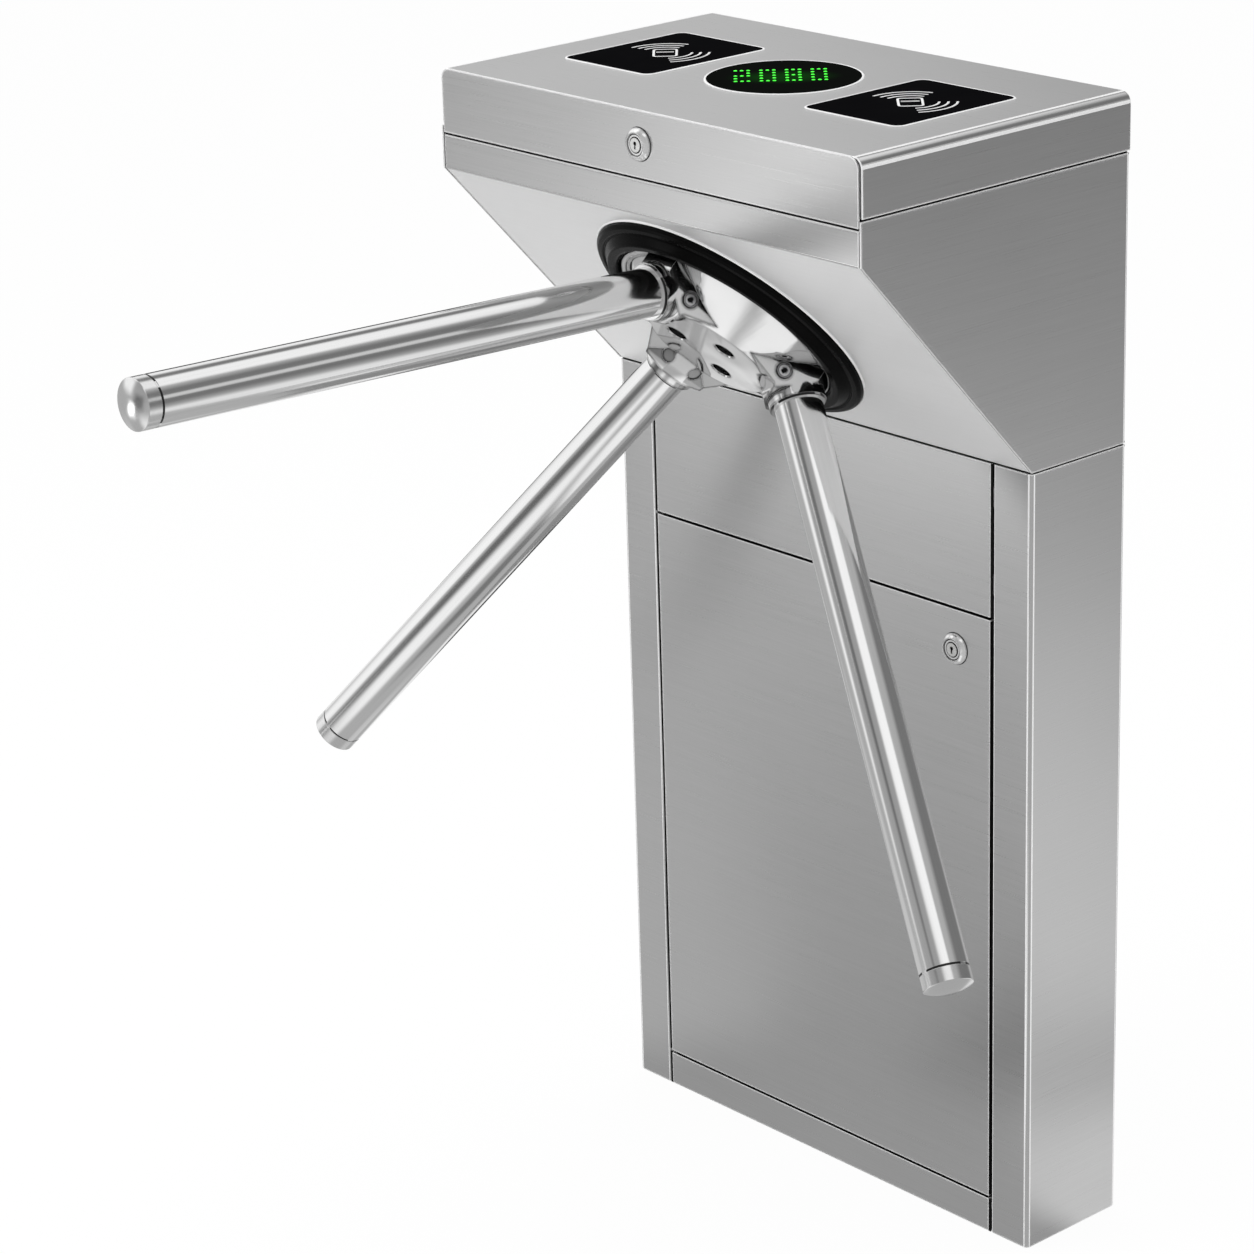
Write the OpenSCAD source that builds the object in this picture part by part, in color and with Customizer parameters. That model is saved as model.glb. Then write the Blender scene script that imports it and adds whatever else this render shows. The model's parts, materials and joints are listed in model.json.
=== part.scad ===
// Tripod turnstile on a narrow pedestal.
// X runs along the front, Y from the front to the back, Z up.
// The origin is on the floor, at the centre of the pedestal's base.

/* [Cabinet] */
// Width over the two side faces
cabinet_w = 490; // [470:1:560]
// Height from the floor to the top of the lid
cabinet_h = 980; // [880:1:1080]
// Depth of the head, from the back to the front plate
head_d = 300; // [285:1:330]
// Depth of the pedestal
pedestal_d = 112; // [108:1:124]
// Height of the head with its lid
head_h = 288; // [280:1:310]
// Depth below the top of the fold between the upright band and the sloped panel
fold_drop = 84; // [80:1:95]
// Thickness of the sheet
sheet = 1.5; // [1.2:0.1:2]
// Outside radius of the upright bends
corner_r = 4; // [3:0.5:6]
// Height of the seams under the lid and under the head
seam = 1.5; // [1:0.25:2]
// Gap beside the front plates
plate_gap = 1.2; // [0.8:0.1:2]
// Width of the flanges that are folded inward
flange_w = 16; // [12:1:20]

/* [Lid] */
// Height of the lid's front plate
lid_front_h = 54; // [50:1:60]
// Height of the lid's side and back skirts
lid_side_h = 47; // [42:1:50]
// Outside radius of the lid's side bends
lid_bend_r = 9; // [6:0.5:12]
// Width of a reader window
reader_w = 104; // [90:1:112]
// Depth of a reader window
reader_d = 134; // [110:1:150]
// Distance of a reader window's middle from the side face
reader_side = 103; // [95:1:106]
// Distance of the windows from the back face
window_back = 142; // [125:1:160]
// Diameter of the round display window
display_dia = 126; // [100:1:140]
// Height by which the windows stand proud of the lid
window_proud = 0.6; // [0.3:0.1:1.5]
// Clearance of a window in its cut-out
window_clear = 0.3; // [0.2:0.1:0.6]
// Depth of the reader and display modules under the lid
module_h = 20; // [12:1:24]

/* [Door] */
// Width of the stiles at the sides of the door
stile_w = 42; // [34:1:52]
// Depth of the jambs folded in from the stiles
jamb_d = 18; // [14:1:22]
// Height of the bottom rail
rail_h = 31; // [26:1:40]
// Height of the front panel over the door
upper_h = 131; // [110:1:170]
// Gap round the door
door_gap = 2.5; // [2:0.25:3.5]
// Depth of the door's folded edges
door_fold = 14; // [12:1:16]
// Distance of the pivot from the door's edge and from its face
pivot_inset = 4.5; // [4:0.25:5]
// Diameter of the pivot pins
pivot_dia = 4; // [3:0.5:5]
// Running clearance round a pivot pin or a lock barrel
run_clear = 0.05; // [0.03:0.01:0.1]

/* [Locks] */
// Diameter of a lock's face
lock_face_dia = 27; // [24:0.5:30]
// Height of a lock's face above the sheet
lock_face_h = 5; // [4:0.5:7]
// Diameter of a lock's body
lock_body_dia = 19; // [17:0.5:20]
// Length of a lock's body behind the sheet
lock_body_len = 19; // [17:0.5:24]
// Diameter of the barrel that the key turns
lock_barrel_dia = 12; // [10:0.5:13]
// Length of a lid lock's cam from its axis
lid_cam_len = 24; // [20:1:27]
// Distance of the door lock from the door's free edge
door_lock_edge = 39; // [34:1:60]
// Distance of the door lock from the door's top edge
door_lock_drop = 34; // [28:1:60]
// Reach of the door lock's cam behind the jamb
cam_reach = 6; // [4:1:8]
// Distance of the key switch below the head
key_switch_drop = 30; // [27:1:90]
// Distance of the key switch from the pedestal's front face
key_switch_front = 17; // [16:1:40]

/* [Hub] */
// Outer diameter of the rubber ring
ring_dia = 252; // [240:1:262]
// Height of the rubber ring
ring_h = 13; // [10:0.5:16]
// Diameter of the hub's rim
hub_dia = 200; // [198:1:206]
// Diameter of the hub's flat front face
hub_face_dia = 112; // [108:1:116]
// Height of the hub's front face above the sloped panel
hub_h = 36; // [35:0.5:40]
// Running gap behind and around the hub
hub_gap = 1.5; // [1:0.25:2]
// Number of bolts in the hub's front face
hub_bolt_count = 3; // [3:3:6]
// Diameter of the circle of the hub bolts
hub_bolt_circle = 58; // [54:1:62]
// Angle of the first hub bolt from the upper arm
hub_bolt_turn = 70; // [55:1:75]
// Diameter of the wells round the hub bolts
hub_well_dia = 17; // [15:0.5:18]
// Angle at which a boss's side walls close in toward its arm
boss_close = 25; // [20:1:28]
// Angle at which a boss rises from the front face toward its collar
boss_ramp = 19; // [12:1:22]
// Height of a boss's roof over its arm's axis
boss_roof = 26; // [25.5:0.5:28]
// Slope of the two sides of a boss's roof
roof_slope = 30; // [25:1:35]

/* [Arms] */
// Diameter of an arm
arm_dia = 40; // [38:0.5:42]
// Wall of an arm's tube
arm_wall = 1.2; // [1:0.1:2]
// Length of an arm, from its collar to its end
arm_len = 501; // [400:1:520]
// Angle by which the upper arm rises above level
arm_rise = 2; // [0:0.5:4]
// Depth behind the sloped panel of the point where the arms' axes meet
arm_apex = 50; // [48:0.5:52]
// Distance from that point to the end of an arm's collar
collar_end = 126; // [122:1:130]
// Radial thickness of the collars
collar_wall = 3.5; // [3:0.5:4]
// Length of a collar in front of its boss
collar_len = 8; // [6:1:12]
// Length of an arm's end cap, without its dome
cap_len = 12; // [8:1:20]
// Height of an end cap's dome
cap_dome = 5; // [3:0.5:8]
// Thickness of the black rings on the arms
arm_ring_t = 1.6; // [1:0.1:2.5]

/* [Mechanism] */
// Diameter of the main shaft
shaft_dia = 30; // [28:0.5:32]
// Outer diameter of the bearings
bearing_dia = 62; // [58:1:64]
// Width of the bearings
bearing_w = 16; // [14:1:18]
// Outer diameter of the bearing housing
housing_dia = 80; // [76:1:84]
// Depth of the mechanism plate behind the sloped panel
plate_depth = 84; // [80:1:88]
// Thickness of the mechanism plate
plate_t = 5; // [4:0.5:6]
// Module of the damper gears
gear_module = 2; // [1.8:0.1:2.1]
// Teeth of the main gear
gear_teeth = 72; // [66:1:72]
// Teeth of the damper's pinion
pinion_teeth = 18; // [17:1:20]
// Backlash of the gears
backlash = 0.35; // [0.3:0.05:0.5]
// Thickness of the gears and of the locking wheel
wheel_t = 8; // [6:0.5:9]
// Outer diameter of the locking wheel
lock_wheel_dia = 124; // [118:1:128]
// Number of notches in the locking wheel
notch_count = 24; // [12:12:24]
// Depth of the notches
notch_depth = 5; // [4:0.5:6]
// Diameter of the rotary damper
damper_dia = 54; // [46:1:58]
// Length of the rotary damper
damper_len = 48; // [40:1:55]
// Angle by which a pawl is lifted clear of the wheel
pawl_lift = 9; // [8:0.5:10]
// Gap between a plunger and its pawl
plunger_gap = 0.4; // [0.3:0.1:0.6]

/* [Base] */
// Thickness of the base plate
base_t = 20; // [12:1:24]
// Distance between the anchor holes along the front
anchor_x = 400; // [380:1:420]
// Distance between the anchor holes from front to back
anchor_y = 56; // [50:1:60]
// Diameter of the anchor holes
anchor_dia = 14; // [12:1:16]
// Length of the cable opening
cable_w = 120; // [80:1:160]
// Width of the cable opening
cable_d = 50; // [40:1:60]
// Clearance between seated pieces
seat = 0.3; // [0.2:0.1:0.5]

/* [Electrics] */
// Width of the control box in the head
control_w = 200; // [160:1:220]
// Height of the control box
control_h = 120; // [90:1:125]
// Depth of the control box
control_d = 26; // [20:1:30]
// Width of the power supply in the pedestal
supply_w = 200; // [150:1:220]
// Height of the power supply
supply_h = 100; // [95:1:140]
// Depth of the power supply
supply_d = 42; // [42:1:46]
// Height at which the power supply hangs
supply_z = 300; // [120:1:320]
// Width of the transformer's core
core_w = 84; // [70:1:100]
// Height of the transformer's core
core_h = 70; // [60:1:72]
// Depth of the transformer
core_d = 38; // [30:1:38]

/* [Hidden] */
$fn = 64;

half_w = cabinet_w / 2;
back_y = pedestal_d / 2;
face_y = -pedestal_d / 2;
front_y = back_y - head_d;
inner_w = half_w - sheet;
plate_w = cabinet_w - 2 * sheet - 2 * plate_gap;
head_seat_z = cabinet_h - head_h;
band_fold_z = cabinet_h - fold_drop;
pedestal_top = head_seat_z - seam;
lid_front_z = cabinet_h - lid_front_h;
lid_side_z = cabinet_h - lid_side_h;
head_top = lid_side_z - seam;
band_top = lid_front_z - seam;
hub_tilt = atan2(head_d - pedestal_d, band_fold_z - head_seat_z);
slope_len = norm([head_d - pedestal_d, band_fold_z - head_seat_z]);
hub_y = (front_y + face_y) / 2;
hub_z = (band_fold_z + head_seat_z) / 2;

opening_w = cabinet_w - 2 * stile_w;
door_w = opening_w - 2 * door_gap;
door_bottom = rail_h + door_gap;
upper_z = pedestal_top - upper_h;
door_top_z = upper_z - door_gap;
pivot_x = -door_w / 2 + pivot_inset;
pivot_y = face_y + pivot_inset;
door_lock_x = door_w / 2 - door_lock_edge;
door_lock_z = door_top_z - door_lock_drop;
door_cam_len = half_w - stile_w + cam_reach - door_lock_x;
lid_lock_z = (cabinet_h + lid_front_z) / 2;
lock_hole_r = lock_body_dia / 2 + 0.1;
cam_t = 2;
cam_w = 12;

hinge_x = 150;
hinge_len = 60;
hinge_r = 4;
hinge_pin_r = 2;
hinge_leaf_t = 2;
hinge_leaf_h = 24;
hinge_y = back_y + hinge_r + 0.5;
hinge_z = lid_side_z - seam / 2;

window_y = back_y - window_back;
reader_x = half_w - reader_side;
key_switch_z = head_seat_z - key_switch_drop;
hub_r = hub_dia / 2;
face_r = hub_face_dia / 2;
flange_r = hub_bolt_circle / 2 + 12;
flange_t = 12;
panel_hole_r = flange_r + 6;
arm_r = arm_dia / 2;
arm_cone = hub_tilt + arm_rise;
arm_end = collar_end + arm_len;
arm_seat = collar_end - 30;
collar_r = arm_r + collar_wall;
boss_end = collar_end - collar_len;
wall_near = face_r * [cos(boss_close), sin(boss_close)];
wall_far = [(face_r - hub_r * sin(boss_close)) / cos(boss_close), hub_r];
ramp_y = face_r - 3;
roof_wall = 4;
clamp_y = 71.5;
clamp_z = 28.5;
clamp_x = (face_r - clamp_y * sin(boss_close)) / cos(boss_close);
clamp_len = clamp_x - arm_r - 1.8;
well_floor = hub_gap + flange_t + 6;
tube_end = arm_end - cap_len - cap_dome;

housing_front = 20;
shaft_r = shaft_dia / 2;
bearing_r = bearing_dia / 2;
plate_back = plate_depth + plate_t;
mech_top = 75;
mech_low = -124;
mech_w = 252;
mech_inset = 13;
post_r = 8;
wheel_z = plate_back + 5;
gear_z = wheel_z + wheel_t + 3;
shaft_back = gear_z + wheel_t + 9;
gear_r = gear_module * gear_teeth / 2;
pinion_r = gear_module * pinion_teeth / 2;
pinion_x = gear_r + pinion_r;
pinion_bore = 6;
wheel_r = lock_wheel_dia / 2;
notch_r = wheel_r - notch_depth;
tip_angle = 75;
tip_r = notch_r + 1;
pawl_reach = 48;
pawl_rise = 13;
pawl_x = tip_r * cos(tip_angle) + pawl_reach;
pawl_y = -tip_r * sin(tip_angle) - 2;
pawl_eye = 10;
spigot_len = 16;
pawl_pin = 5;
plunger_x = pawl_x - 25;
plunger_r = 4;
solenoid_w = 26;
solenoid_h = 36;
solenoid_top = pawl_y - pawl_rise - 9;
post_w = 50;
post_d = 25;
post_t = 4;
post_x = 150;

// Vectors, rounded paths and folded sheet
function unit(v) = v / norm(v);
function left(v) = [-v[1], v[0]];
function flip(p) = [for (i = [len(p) - 1:-1:0]) p[i]];
function shift_path(p, t) = [
    for (i = [0:len(p) - 1])
        let (
            a = unit(p[max(i, 1)] - p[max(i, 1) - 1]),
            b = unit(p[min(i + 1, len(p) - 1)] - p[min(i + 1, len(p) - 1) - 1]),
            m = unit(left(a) + left(b))
        )
        p[i] + m * t / (m * left(a))
];
function arc_at(a, b, c, r, steps = 5) =
    let (
        u = unit(a - b),
        v = unit(c - b),
        half = acos(max(-1, min(1, u * v))) / 2,
        o = b + unit(u + v) * r / sin(half),
        s = b + u * r / tan(half) - o,
        turn = (180 - 2 * half) * (u[0] * v[1] - u[1] * v[0] > 0 ? -1 : 1)
    )
    [for (i = [0:steps]) let (w = turn * i / steps)
        o + [s[0] * cos(w) - s[1] * sin(w), s[0] * sin(w) + s[1] * cos(w)]];
function round_path(p, r) = [
    for (i = [0:len(p) - 1])
        for (q = (i == 0 || i == len(p) - 1 || r[i] == 0)
            ? [p[i]] : arc_at(p[i - 1], p[i], p[i + 1], r[i])) q
];
function round_loop(p, r) = [
    for (i = [0:len(p) - 1])
        for (q = r[i] == 0 ? [p[i]]
            : arc_at(p[(i + len(p) - 1) % len(p)], p[i], p[(i + 1) % len(p)], r[i])) q
];
function folded(p, t) = concat(p, flip(shift_path(p, t)));
function box_loop(w, h, r) = round_loop(
    [[-w / 2, -h / 2], [w / 2, -h / 2], [w / 2, h / 2], [-w / 2, h / 2]], [r, r, r, r]);

// Involute gear outline
function rolled(a) = tan(a) * 180 / PI - a;
function flank(r, base_r) = rolled(acos(min(1, base_r / r)));
function gear_points(teeth, m, play, steps = 3) =
    let (
        rp = m * teeth / 2,
        base_r = rp * cos(20),
        tip = rp + 0.9 * m,
        root = rp - 1.25 * m,
        low = max(base_r, root + 0.1),
        half = 90 / teeth - play / 4 / rp * 180 / PI + rolled(20)
    )
    [for (k = [0:teeth - 1]) for (side = [-1, 1]) for (i = [0:steps])
        let (
            j = side < 0 ? i : steps - i,
            r = j == 0 ? root : low + (tip - low) * (j - 1) / (steps - 1),
            a = 360 * k / teeth + side * (half - flank(max(r, low), base_r))
        )
        r * [cos(a), sin(a)]];

// Placement on the sloped panel: Z points out of the panel, Y up the slope
module on_slope(z = 0) {
    translate([0, hub_y, hub_z])
        rotate([90 + hub_tilt, 0, 0])
            translate([0, 0, z]) children();
}

// Placement on an arm's axis, at a distance from the point where the axes meet
module on_arm(k, t = 0) {
    on_slope()
        rotate([0, 0, -120 * k])
            translate([0, 0, -arm_apex])
                rotate([-arm_cone, 0, 0])
                    translate([0, 0, t]) children();
}

module box_at(a, b) {
    translate(a) cube(b - a);
}

module along_x(w) {
    translate([-w / 2, 0, 0])
        rotate([90, 0, 90]) linear_extrude(w) children();
}

// Side outline of the head, grown by a margin at the top and bottom
module head_outline() {
    polygon([
        [back_y + 1, head_seat_z], [face_y, head_seat_z], [front_y, band_fold_z],
        [front_y, head_top], [back_y + 1, head_top]
    ]);
}

// Pedestal
module pedestal_shell() {
    ends = half_w - stile_w;
    path = round_path(
        [[-ends, face_y + jamb_d], [-ends, face_y], [-half_w, face_y], [-half_w, back_y],
            [half_w, back_y], [half_w, face_y], [ends, face_y], [ends, face_y + jamb_d]],
        [0, sheet + 1, corner_r, corner_r, corner_r, corner_r, sheet + 1, 0]);
    color("silver") difference() {
        union() {
            linear_extrude(pedestal_top) polygon(folded(path, -sheet));
            inner_flange(pedestal_top - sheet);
        }
        key_switch_place() translate([0, 0, -sheet * 2])
            cylinder(h = sheet * 3, r = lock_hole_r);
    }
}

// Flange round the left, back and right sides of the cabinet
module inner_flange(z) {
    m = sheet / 2;
    translate([0, 0, z]) linear_extrude(sheet) polygon([
        [-half_w + m, face_y + jamb_d], [-half_w + m, back_y - m],
        [half_w - m, back_y - m], [half_w - m, face_y + jamb_d],
        [half_w - flange_w, face_y + jamb_d], [half_w - flange_w, back_y - flange_w],
        [-half_w + flange_w, back_y - flange_w], [-half_w + flange_w, face_y + jamb_d]
    ]);
}

// Shallow tray with its edges folded in, on the pedestal's front face
module front_tray(z0, z1, fold) {
    difference() {
        box_at([-door_w / 2, face_y, z0], [door_w / 2, face_y + fold, z1]);
        box_at([-door_w / 2 + sheet, face_y + sheet, z0 + sheet],
            [door_w / 2 - sheet, face_y + fold + 1, z1 - sheet]);
    }
}

module upper_panel() {
    ear = 16;
    color("silver") difference() {
        union() {
            front_tray(upper_z, pedestal_top, door_fold);
            for (s = [-1, 1], z = [upper_z + 20, pedestal_top - 20 - ear])
                translate([s * (opening_w + door_w) / 4, face_y + door_fold / 2, z + ear / 2])
                    cube([(opening_w - door_w) / 2, door_fold - 2 * sheet, ear], center = true);
        }
        translate([pivot_x, pivot_y, upper_z - 1])
            cylinder(h = sheet + 2, d = pivot_dia);
    }
}

module bottom_rail() {
    color("silver") difference() {
        union() {
            difference() {
                box_at([-door_w / 2, face_y, 0], [door_w / 2, face_y + door_fold, rail_h]);
                box_at([-door_w / 2 + sheet, face_y + sheet, -1],
                    [door_w / 2 - sheet, face_y + door_fold + 1, rail_h - sheet]);
                box_at([-door_w / 2 - 1, face_y + sheet, -1],
                    [door_w / 2 + 1, face_y + door_fold + 1, base_t + seat]);
            }
            for (s = [-1, 1])
                translate([s * (opening_w + door_w) / 4, face_y + door_fold / 2, rail_h - 6])
                    cube([(opening_w - door_w) / 2, door_fold - 2 * sheet, 6], center = true);
        }
        translate([pivot_x, pivot_y, rail_h - sheet - 1])
            cylinder(h = sheet + 2, d = pivot_dia);
    }
}

module base_plate() {
    w = cabinet_w - 2 * sheet - 2 * seat;
    d = pedestal_d - 2 * sheet - 2 * seat;
    color("gray") difference() {
        linear_extrude(base_t) polygon(box_loop(w, d, corner_r));
        translate([0, 0, -1]) linear_extrude(base_t + 2)
            polygon(box_loop(cable_w, cable_d, 10));
        for (x = [-1, 1], y = [-1, 1])
            translate([x * anchor_x / 2, y * anchor_y / 2, -1])
                cylinder(h = base_t + 2, d = anchor_dia);
        for (s = [-1, 1])
            box_at([s * (half_w - stile_w + sheet / 2) - sheet, face_y, -1],
                [s * (half_w - stile_w + sheet / 2) + sheet, face_y + jamb_d + seat, base_t + 1]);
    }
}

// Upright channels that carry the head
module back_posts() {
    color("dimgray") for (s = [-1, 1])
        translate([s * post_x, back_y - sheet - post_d, base_t])
            linear_extrude(pedestal_top - sheet - base_t) difference() {
                translate([-post_w / 2, 0]) square([post_w, post_d]);
                translate([-post_w / 2 + post_t, post_t])
                    square([post_w - 2 * post_t, post_d]);
            }
}

module head_gasket() {
    inset = 2;
    color("black") translate([0, 0, pedestal_top]) linear_extrude(seam) difference() {
        translate([-half_w + inset, face_y + inset])
            square([cabinet_w - 2 * inset, pedestal_d - 2 * inset]);
        translate([-half_w + flange_w, face_y + door_fold])
            square([cabinet_w - 2 * flange_w, pedestal_d - flange_w - door_fold]);
    }
}

module head_shell() {
    path = round_path([[-half_w, front_y], [-half_w, back_y], [half_w, back_y], [half_w, front_y]],
        [0, corner_r, corner_r, 0]);
    ledge = 12;
    color("silver") union() {
        intersection() {
            translate([0, 0, head_seat_z]) linear_extrude(head_top - head_seat_z)
                polygon(folded(path, -sheet));
            along_x(cabinet_w + 2) head_outline();
        }
        inner_flange(head_seat_z);
        translate([0, 0, head_top - sheet]) linear_extrude(sheet) polygon([
            [-half_w + sheet / 2, front_y + 20], [-half_w + sheet / 2, back_y - sheet / 2],
            [half_w - sheet / 2, back_y - sheet / 2], [half_w - sheet / 2, front_y + 20],
            [half_w - flange_w, front_y + 20], [half_w - flange_w, back_y - flange_w],
            [-half_w + flange_w, back_y - flange_w], [-half_w + flange_w, front_y + 20]
        ]);
        for (s = [-1, 1]) on_slope(-2 * sheet)
            translate([s * (half_w - sheet / 2 - ledge / 2), 0, sheet / 2])
                cube([ledge, slope_len - 40, sheet], center = true);
    }
}

// Upright band and sloped panel, folded from one sheet
module sloped_panel() {
    path = round_path([[front_y + flange_w, band_top], [front_y, band_top], [front_y, band_fold_z],
            [face_y, head_seat_z], [face_y + flange_w - sheet, head_seat_z]],
        [0, sheet + 0.5, 3, 3, 0]);
    color("silver") difference() {
        along_x(plate_w) polygon(folded(path, sheet));
        on_slope(-sheet * 2) cylinder(h = sheet * 4, r = panel_hole_r);
    }
}

module lid_seal() {
    inset = 2;
    w = 8;
    color("black") {
        translate([0, 0, head_top]) linear_extrude(seam) difference() {
            translate([-half_w + inset, front_y + 20])
                square([cabinet_w - 2 * inset, head_d - 20 - inset]);
            translate([-half_w + inset + w, front_y + 19])
                square([cabinet_w - 2 * inset - 2 * w, head_d - 19 - inset - w]);
        }
        translate([0, 0, band_top]) linear_extrude(seam)
            translate([-plate_w / 2 + inset, front_y + 1]) square([plate_w - 2 * inset, w]);
    }
}

// Catch that the lid lock's cam turns under
module lid_strike() {
    cam_y = front_y + sheet + lock_body_len + 0.5;
    x0 = 12;
    x1 = x0 + 18;
    top = lid_lock_z + cam_w / 2 + 1;
    color("gray") union() {
        box_at([x0, cam_y + cam_t + 1.5, band_top], [x1, cam_y + cam_t + 3.5, top + 2]);
        box_at([x0, cam_y - 2, top], [x1, cam_y + cam_t + 3.5, top + 2]);
        box_at([x0, front_y + 10, band_top], [x1, cam_y + cam_t + 3.5, band_top + 2]);
    }
}

// Hinges of the lid, outside the back
module hinge_knuckle(x0, x1) {
    translate([x0, hinge_y, hinge_z]) rotate([0, 90, 0]) difference() {
        cylinder(h = x1 - x0, r = hinge_r);
        translate([0, 0, -1]) cylinder(h = x1 - x0 + 2, r = hinge_pin_r + run_clear);
    }
}

module hinge_leaf(x0, x1, up) {
    tall = hinge_leaf_h;
    difference() {
        union() {
            box_at([x0, back_y, up > 0 ? hinge_z + 1 : hinge_z - tall],
                [x1, back_y + hinge_leaf_t, up > 0 ? hinge_z + tall : hinge_z - 1]);
            box_at([x0, back_y + 0.5, up > 0 ? hinge_z + 1 : hinge_z - 3.2],
                [x1, hinge_y, up > 0 ? hinge_z + 3.2 : hinge_z - 1]);
        }
        translate([x0 - 1, hinge_y, hinge_z]) rotate([0, 90, 0])
            cylinder(h = x1 - x0 + 2, r = hinge_pin_r + run_clear);
    }
}

module lid_hinge_fixed() {
    third = hinge_len / 3;
    color("silver") for (c = [-hinge_x, hinge_x])
        difference() {
            union() {
                for (x = [c - third * 1.5, c + third / 2]) {
                    hinge_knuckle(x, x + third - 0.3);
                    hinge_leaf(x, x + third - 0.3, -1);
                }
                box_at([c - third * 1.5, back_y, hinge_z - hinge_leaf_h],
                    [c + third * 1.5 - 0.3, back_y + hinge_leaf_t, hinge_z - hinge_r - 0.5]);
            }
        }
}

module lid_hinge_moving() {
    third = hinge_len / 3;
    color("silver") for (c = [-hinge_x, hinge_x])
        union() {
            hinge_knuckle(c - third / 2, c + third / 2 - 0.3);
            hinge_leaf(c - third / 2, c + third / 2 - 0.3, 1);
            box_at([c - third * 1.5, back_y, hinge_z + hinge_r + 0.5],
                [c + third * 1.5 - 0.3, back_y + hinge_leaf_t, hinge_z + hinge_leaf_h]);
        }
}

module lid_hinge_pins() {
    color("gray") for (c = [-hinge_x, hinge_x])
        translate([c - hinge_len / 2 - 0.5, hinge_y, hinge_z]) rotate([0, 90, 0]) {
            cylinder(h = hinge_len + 0.7, r = hinge_pin_r);
            translate([0, 0, -1]) cylinder(h = 1, r = hinge_pin_r + 1);
            translate([0, 0, hinge_len + 0.7]) cylinder(h = 1, r = hinge_pin_r + 1);
        }
}

// Lid
module lid_shell() {
    path = round_path([[-half_w, lid_side_z], [-half_w, cabinet_h], [half_w, cabinet_h],
            [half_w, lid_side_z]], [0, lid_bend_r, lid_bend_r, 0]);
    depth = head_d - sheet;
    color("silver") difference() {
        union() {
            translate([0, front_y + sheet + depth, 0]) rotate([90, 0, 0])
                linear_extrude(depth) polygon(folded(path, -sheet));
            translate([0, back_y, 0]) rotate([90, 0, 0]) linear_extrude(sheet)
                polygon(path);
        }
        for (s = [-1, 1])
            translate([s * reader_x, window_y, cabinet_h - sheet - 1]) linear_extrude(sheet + 2)
                polygon(box_loop(reader_w + 2 * window_clear, reader_d + 2 * window_clear, 8));
        translate([0, window_y, cabinet_h - sheet - 1])
            cylinder(h = sheet + 2, d = display_dia + 2 * window_clear);
    }
}

module lid_front() {
    w = plate_w / 2;
    fold = 12;
    edge = round_loop([[-w, lid_front_z], [w, lid_front_z], [w, cabinet_h], [-w, cabinet_h]],
        [0, 0, lid_bend_r, lid_bend_r]);
    color("silver") difference() {
        union() {
            translate([0, front_y + sheet, 0]) rotate([90, 0, 0])
                linear_extrude(sheet) polygon(edge);
            translate([0, front_y + sheet / 2 + fold / 2, cabinet_h - 1.5 * sheet - seat])
                cube([plate_w - 2 * lid_bend_r - 4, fold, sheet], center = true);
            for (s = [-1, 1])
                translate([s * (plate_w / 2 - sheet), front_y + sheet / 2 + fold / 2,
                    (lid_side_z + cabinet_h - lid_bend_r) / 2])
                    cube([sheet, fold, cabinet_h - lid_bend_r - lid_side_z - 4], center = true);
        }
        translate([0, front_y - 1, lid_lock_z]) rotate([-90, 0, 0])
            cylinder(h = sheet + 2, r = lock_hole_r);
    }
}

module reader_window(s) {
    translate([s * reader_x, window_y, cabinet_h - sheet])
        linear_extrude(sheet + window_proud) polygon(box_loop(reader_w, reader_d, 8));
}

module reader_window_left() {
    color("black") reader_window(-1);
}

module reader_window_right() {
    color("black") reader_window(1);
}

module display_window() {
    color("black") translate([0, window_y, cabinet_h - sheet])
        cylinder(h = sheet + window_proud, d = display_dia, $fn = 96);
}

module reader_modules() {
    rim = 8;
    color("dimgray") for (s = [-1, 1])
        translate([s * reader_x, window_y, cabinet_h - sheet]) {
            translate([0, 0, -3]) linear_extrude(3)
                polygon(box_loop(reader_w + rim, reader_d + rim, 6));
            translate([0, 0, -module_h]) linear_extrude(module_h)
                polygon(box_loop(reader_w - 16, reader_w - 16, 4));
        }
}

module display_module() {
    color("darkgreen") translate([0, window_y, cabinet_h - sheet]) difference() {
        union() {
            translate([0, 0, -3]) cylinder(h = 3, d = display_dia + 8);
            translate([0, 0, -module_h]) linear_extrude(module_h)
                polygon(box_loop(96, 64, 4));
        }
        for (s = [-1, 1])
            translate([s * (reader_x - reader_w / 2 + 3 - 2.5), 0, -4])
                cube([15, display_dia, 12], center = true);
    }
}

// Cam locks: Z points out of the sheet, Y up, and the cam hangs down when the key is upright
module lock_body(len) {
    difference() {
        union() {
            rotate_extrude($fn = 64) polygon([
                [0, 0], [lock_face_dia / 2, 0], [lock_face_dia / 2, lock_face_h * 0.3],
                [lock_face_dia / 2 - 1.2, lock_face_h * 0.7], [lock_face_dia / 2 - 3.2, lock_face_h],
                [lock_face_dia / 2 - 4.2, lock_face_h], [lock_face_dia / 2 - 4.6, lock_face_h * 0.8],
                [0, lock_face_h * 0.8]
            ]);
            translate([0, 0, -len]) cylinder(h = len, d = lock_body_dia);
            translate([0, 0, -sheet - 4]) cylinder(h = 4, r = lock_body_dia / 2 + 3, $fn = 6);
        }
        translate([0, 0, -len - 1])
            cylinder(h = len + lock_face_h + 2, r = lock_barrel_dia / 2 + run_clear);
    }
}

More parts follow.
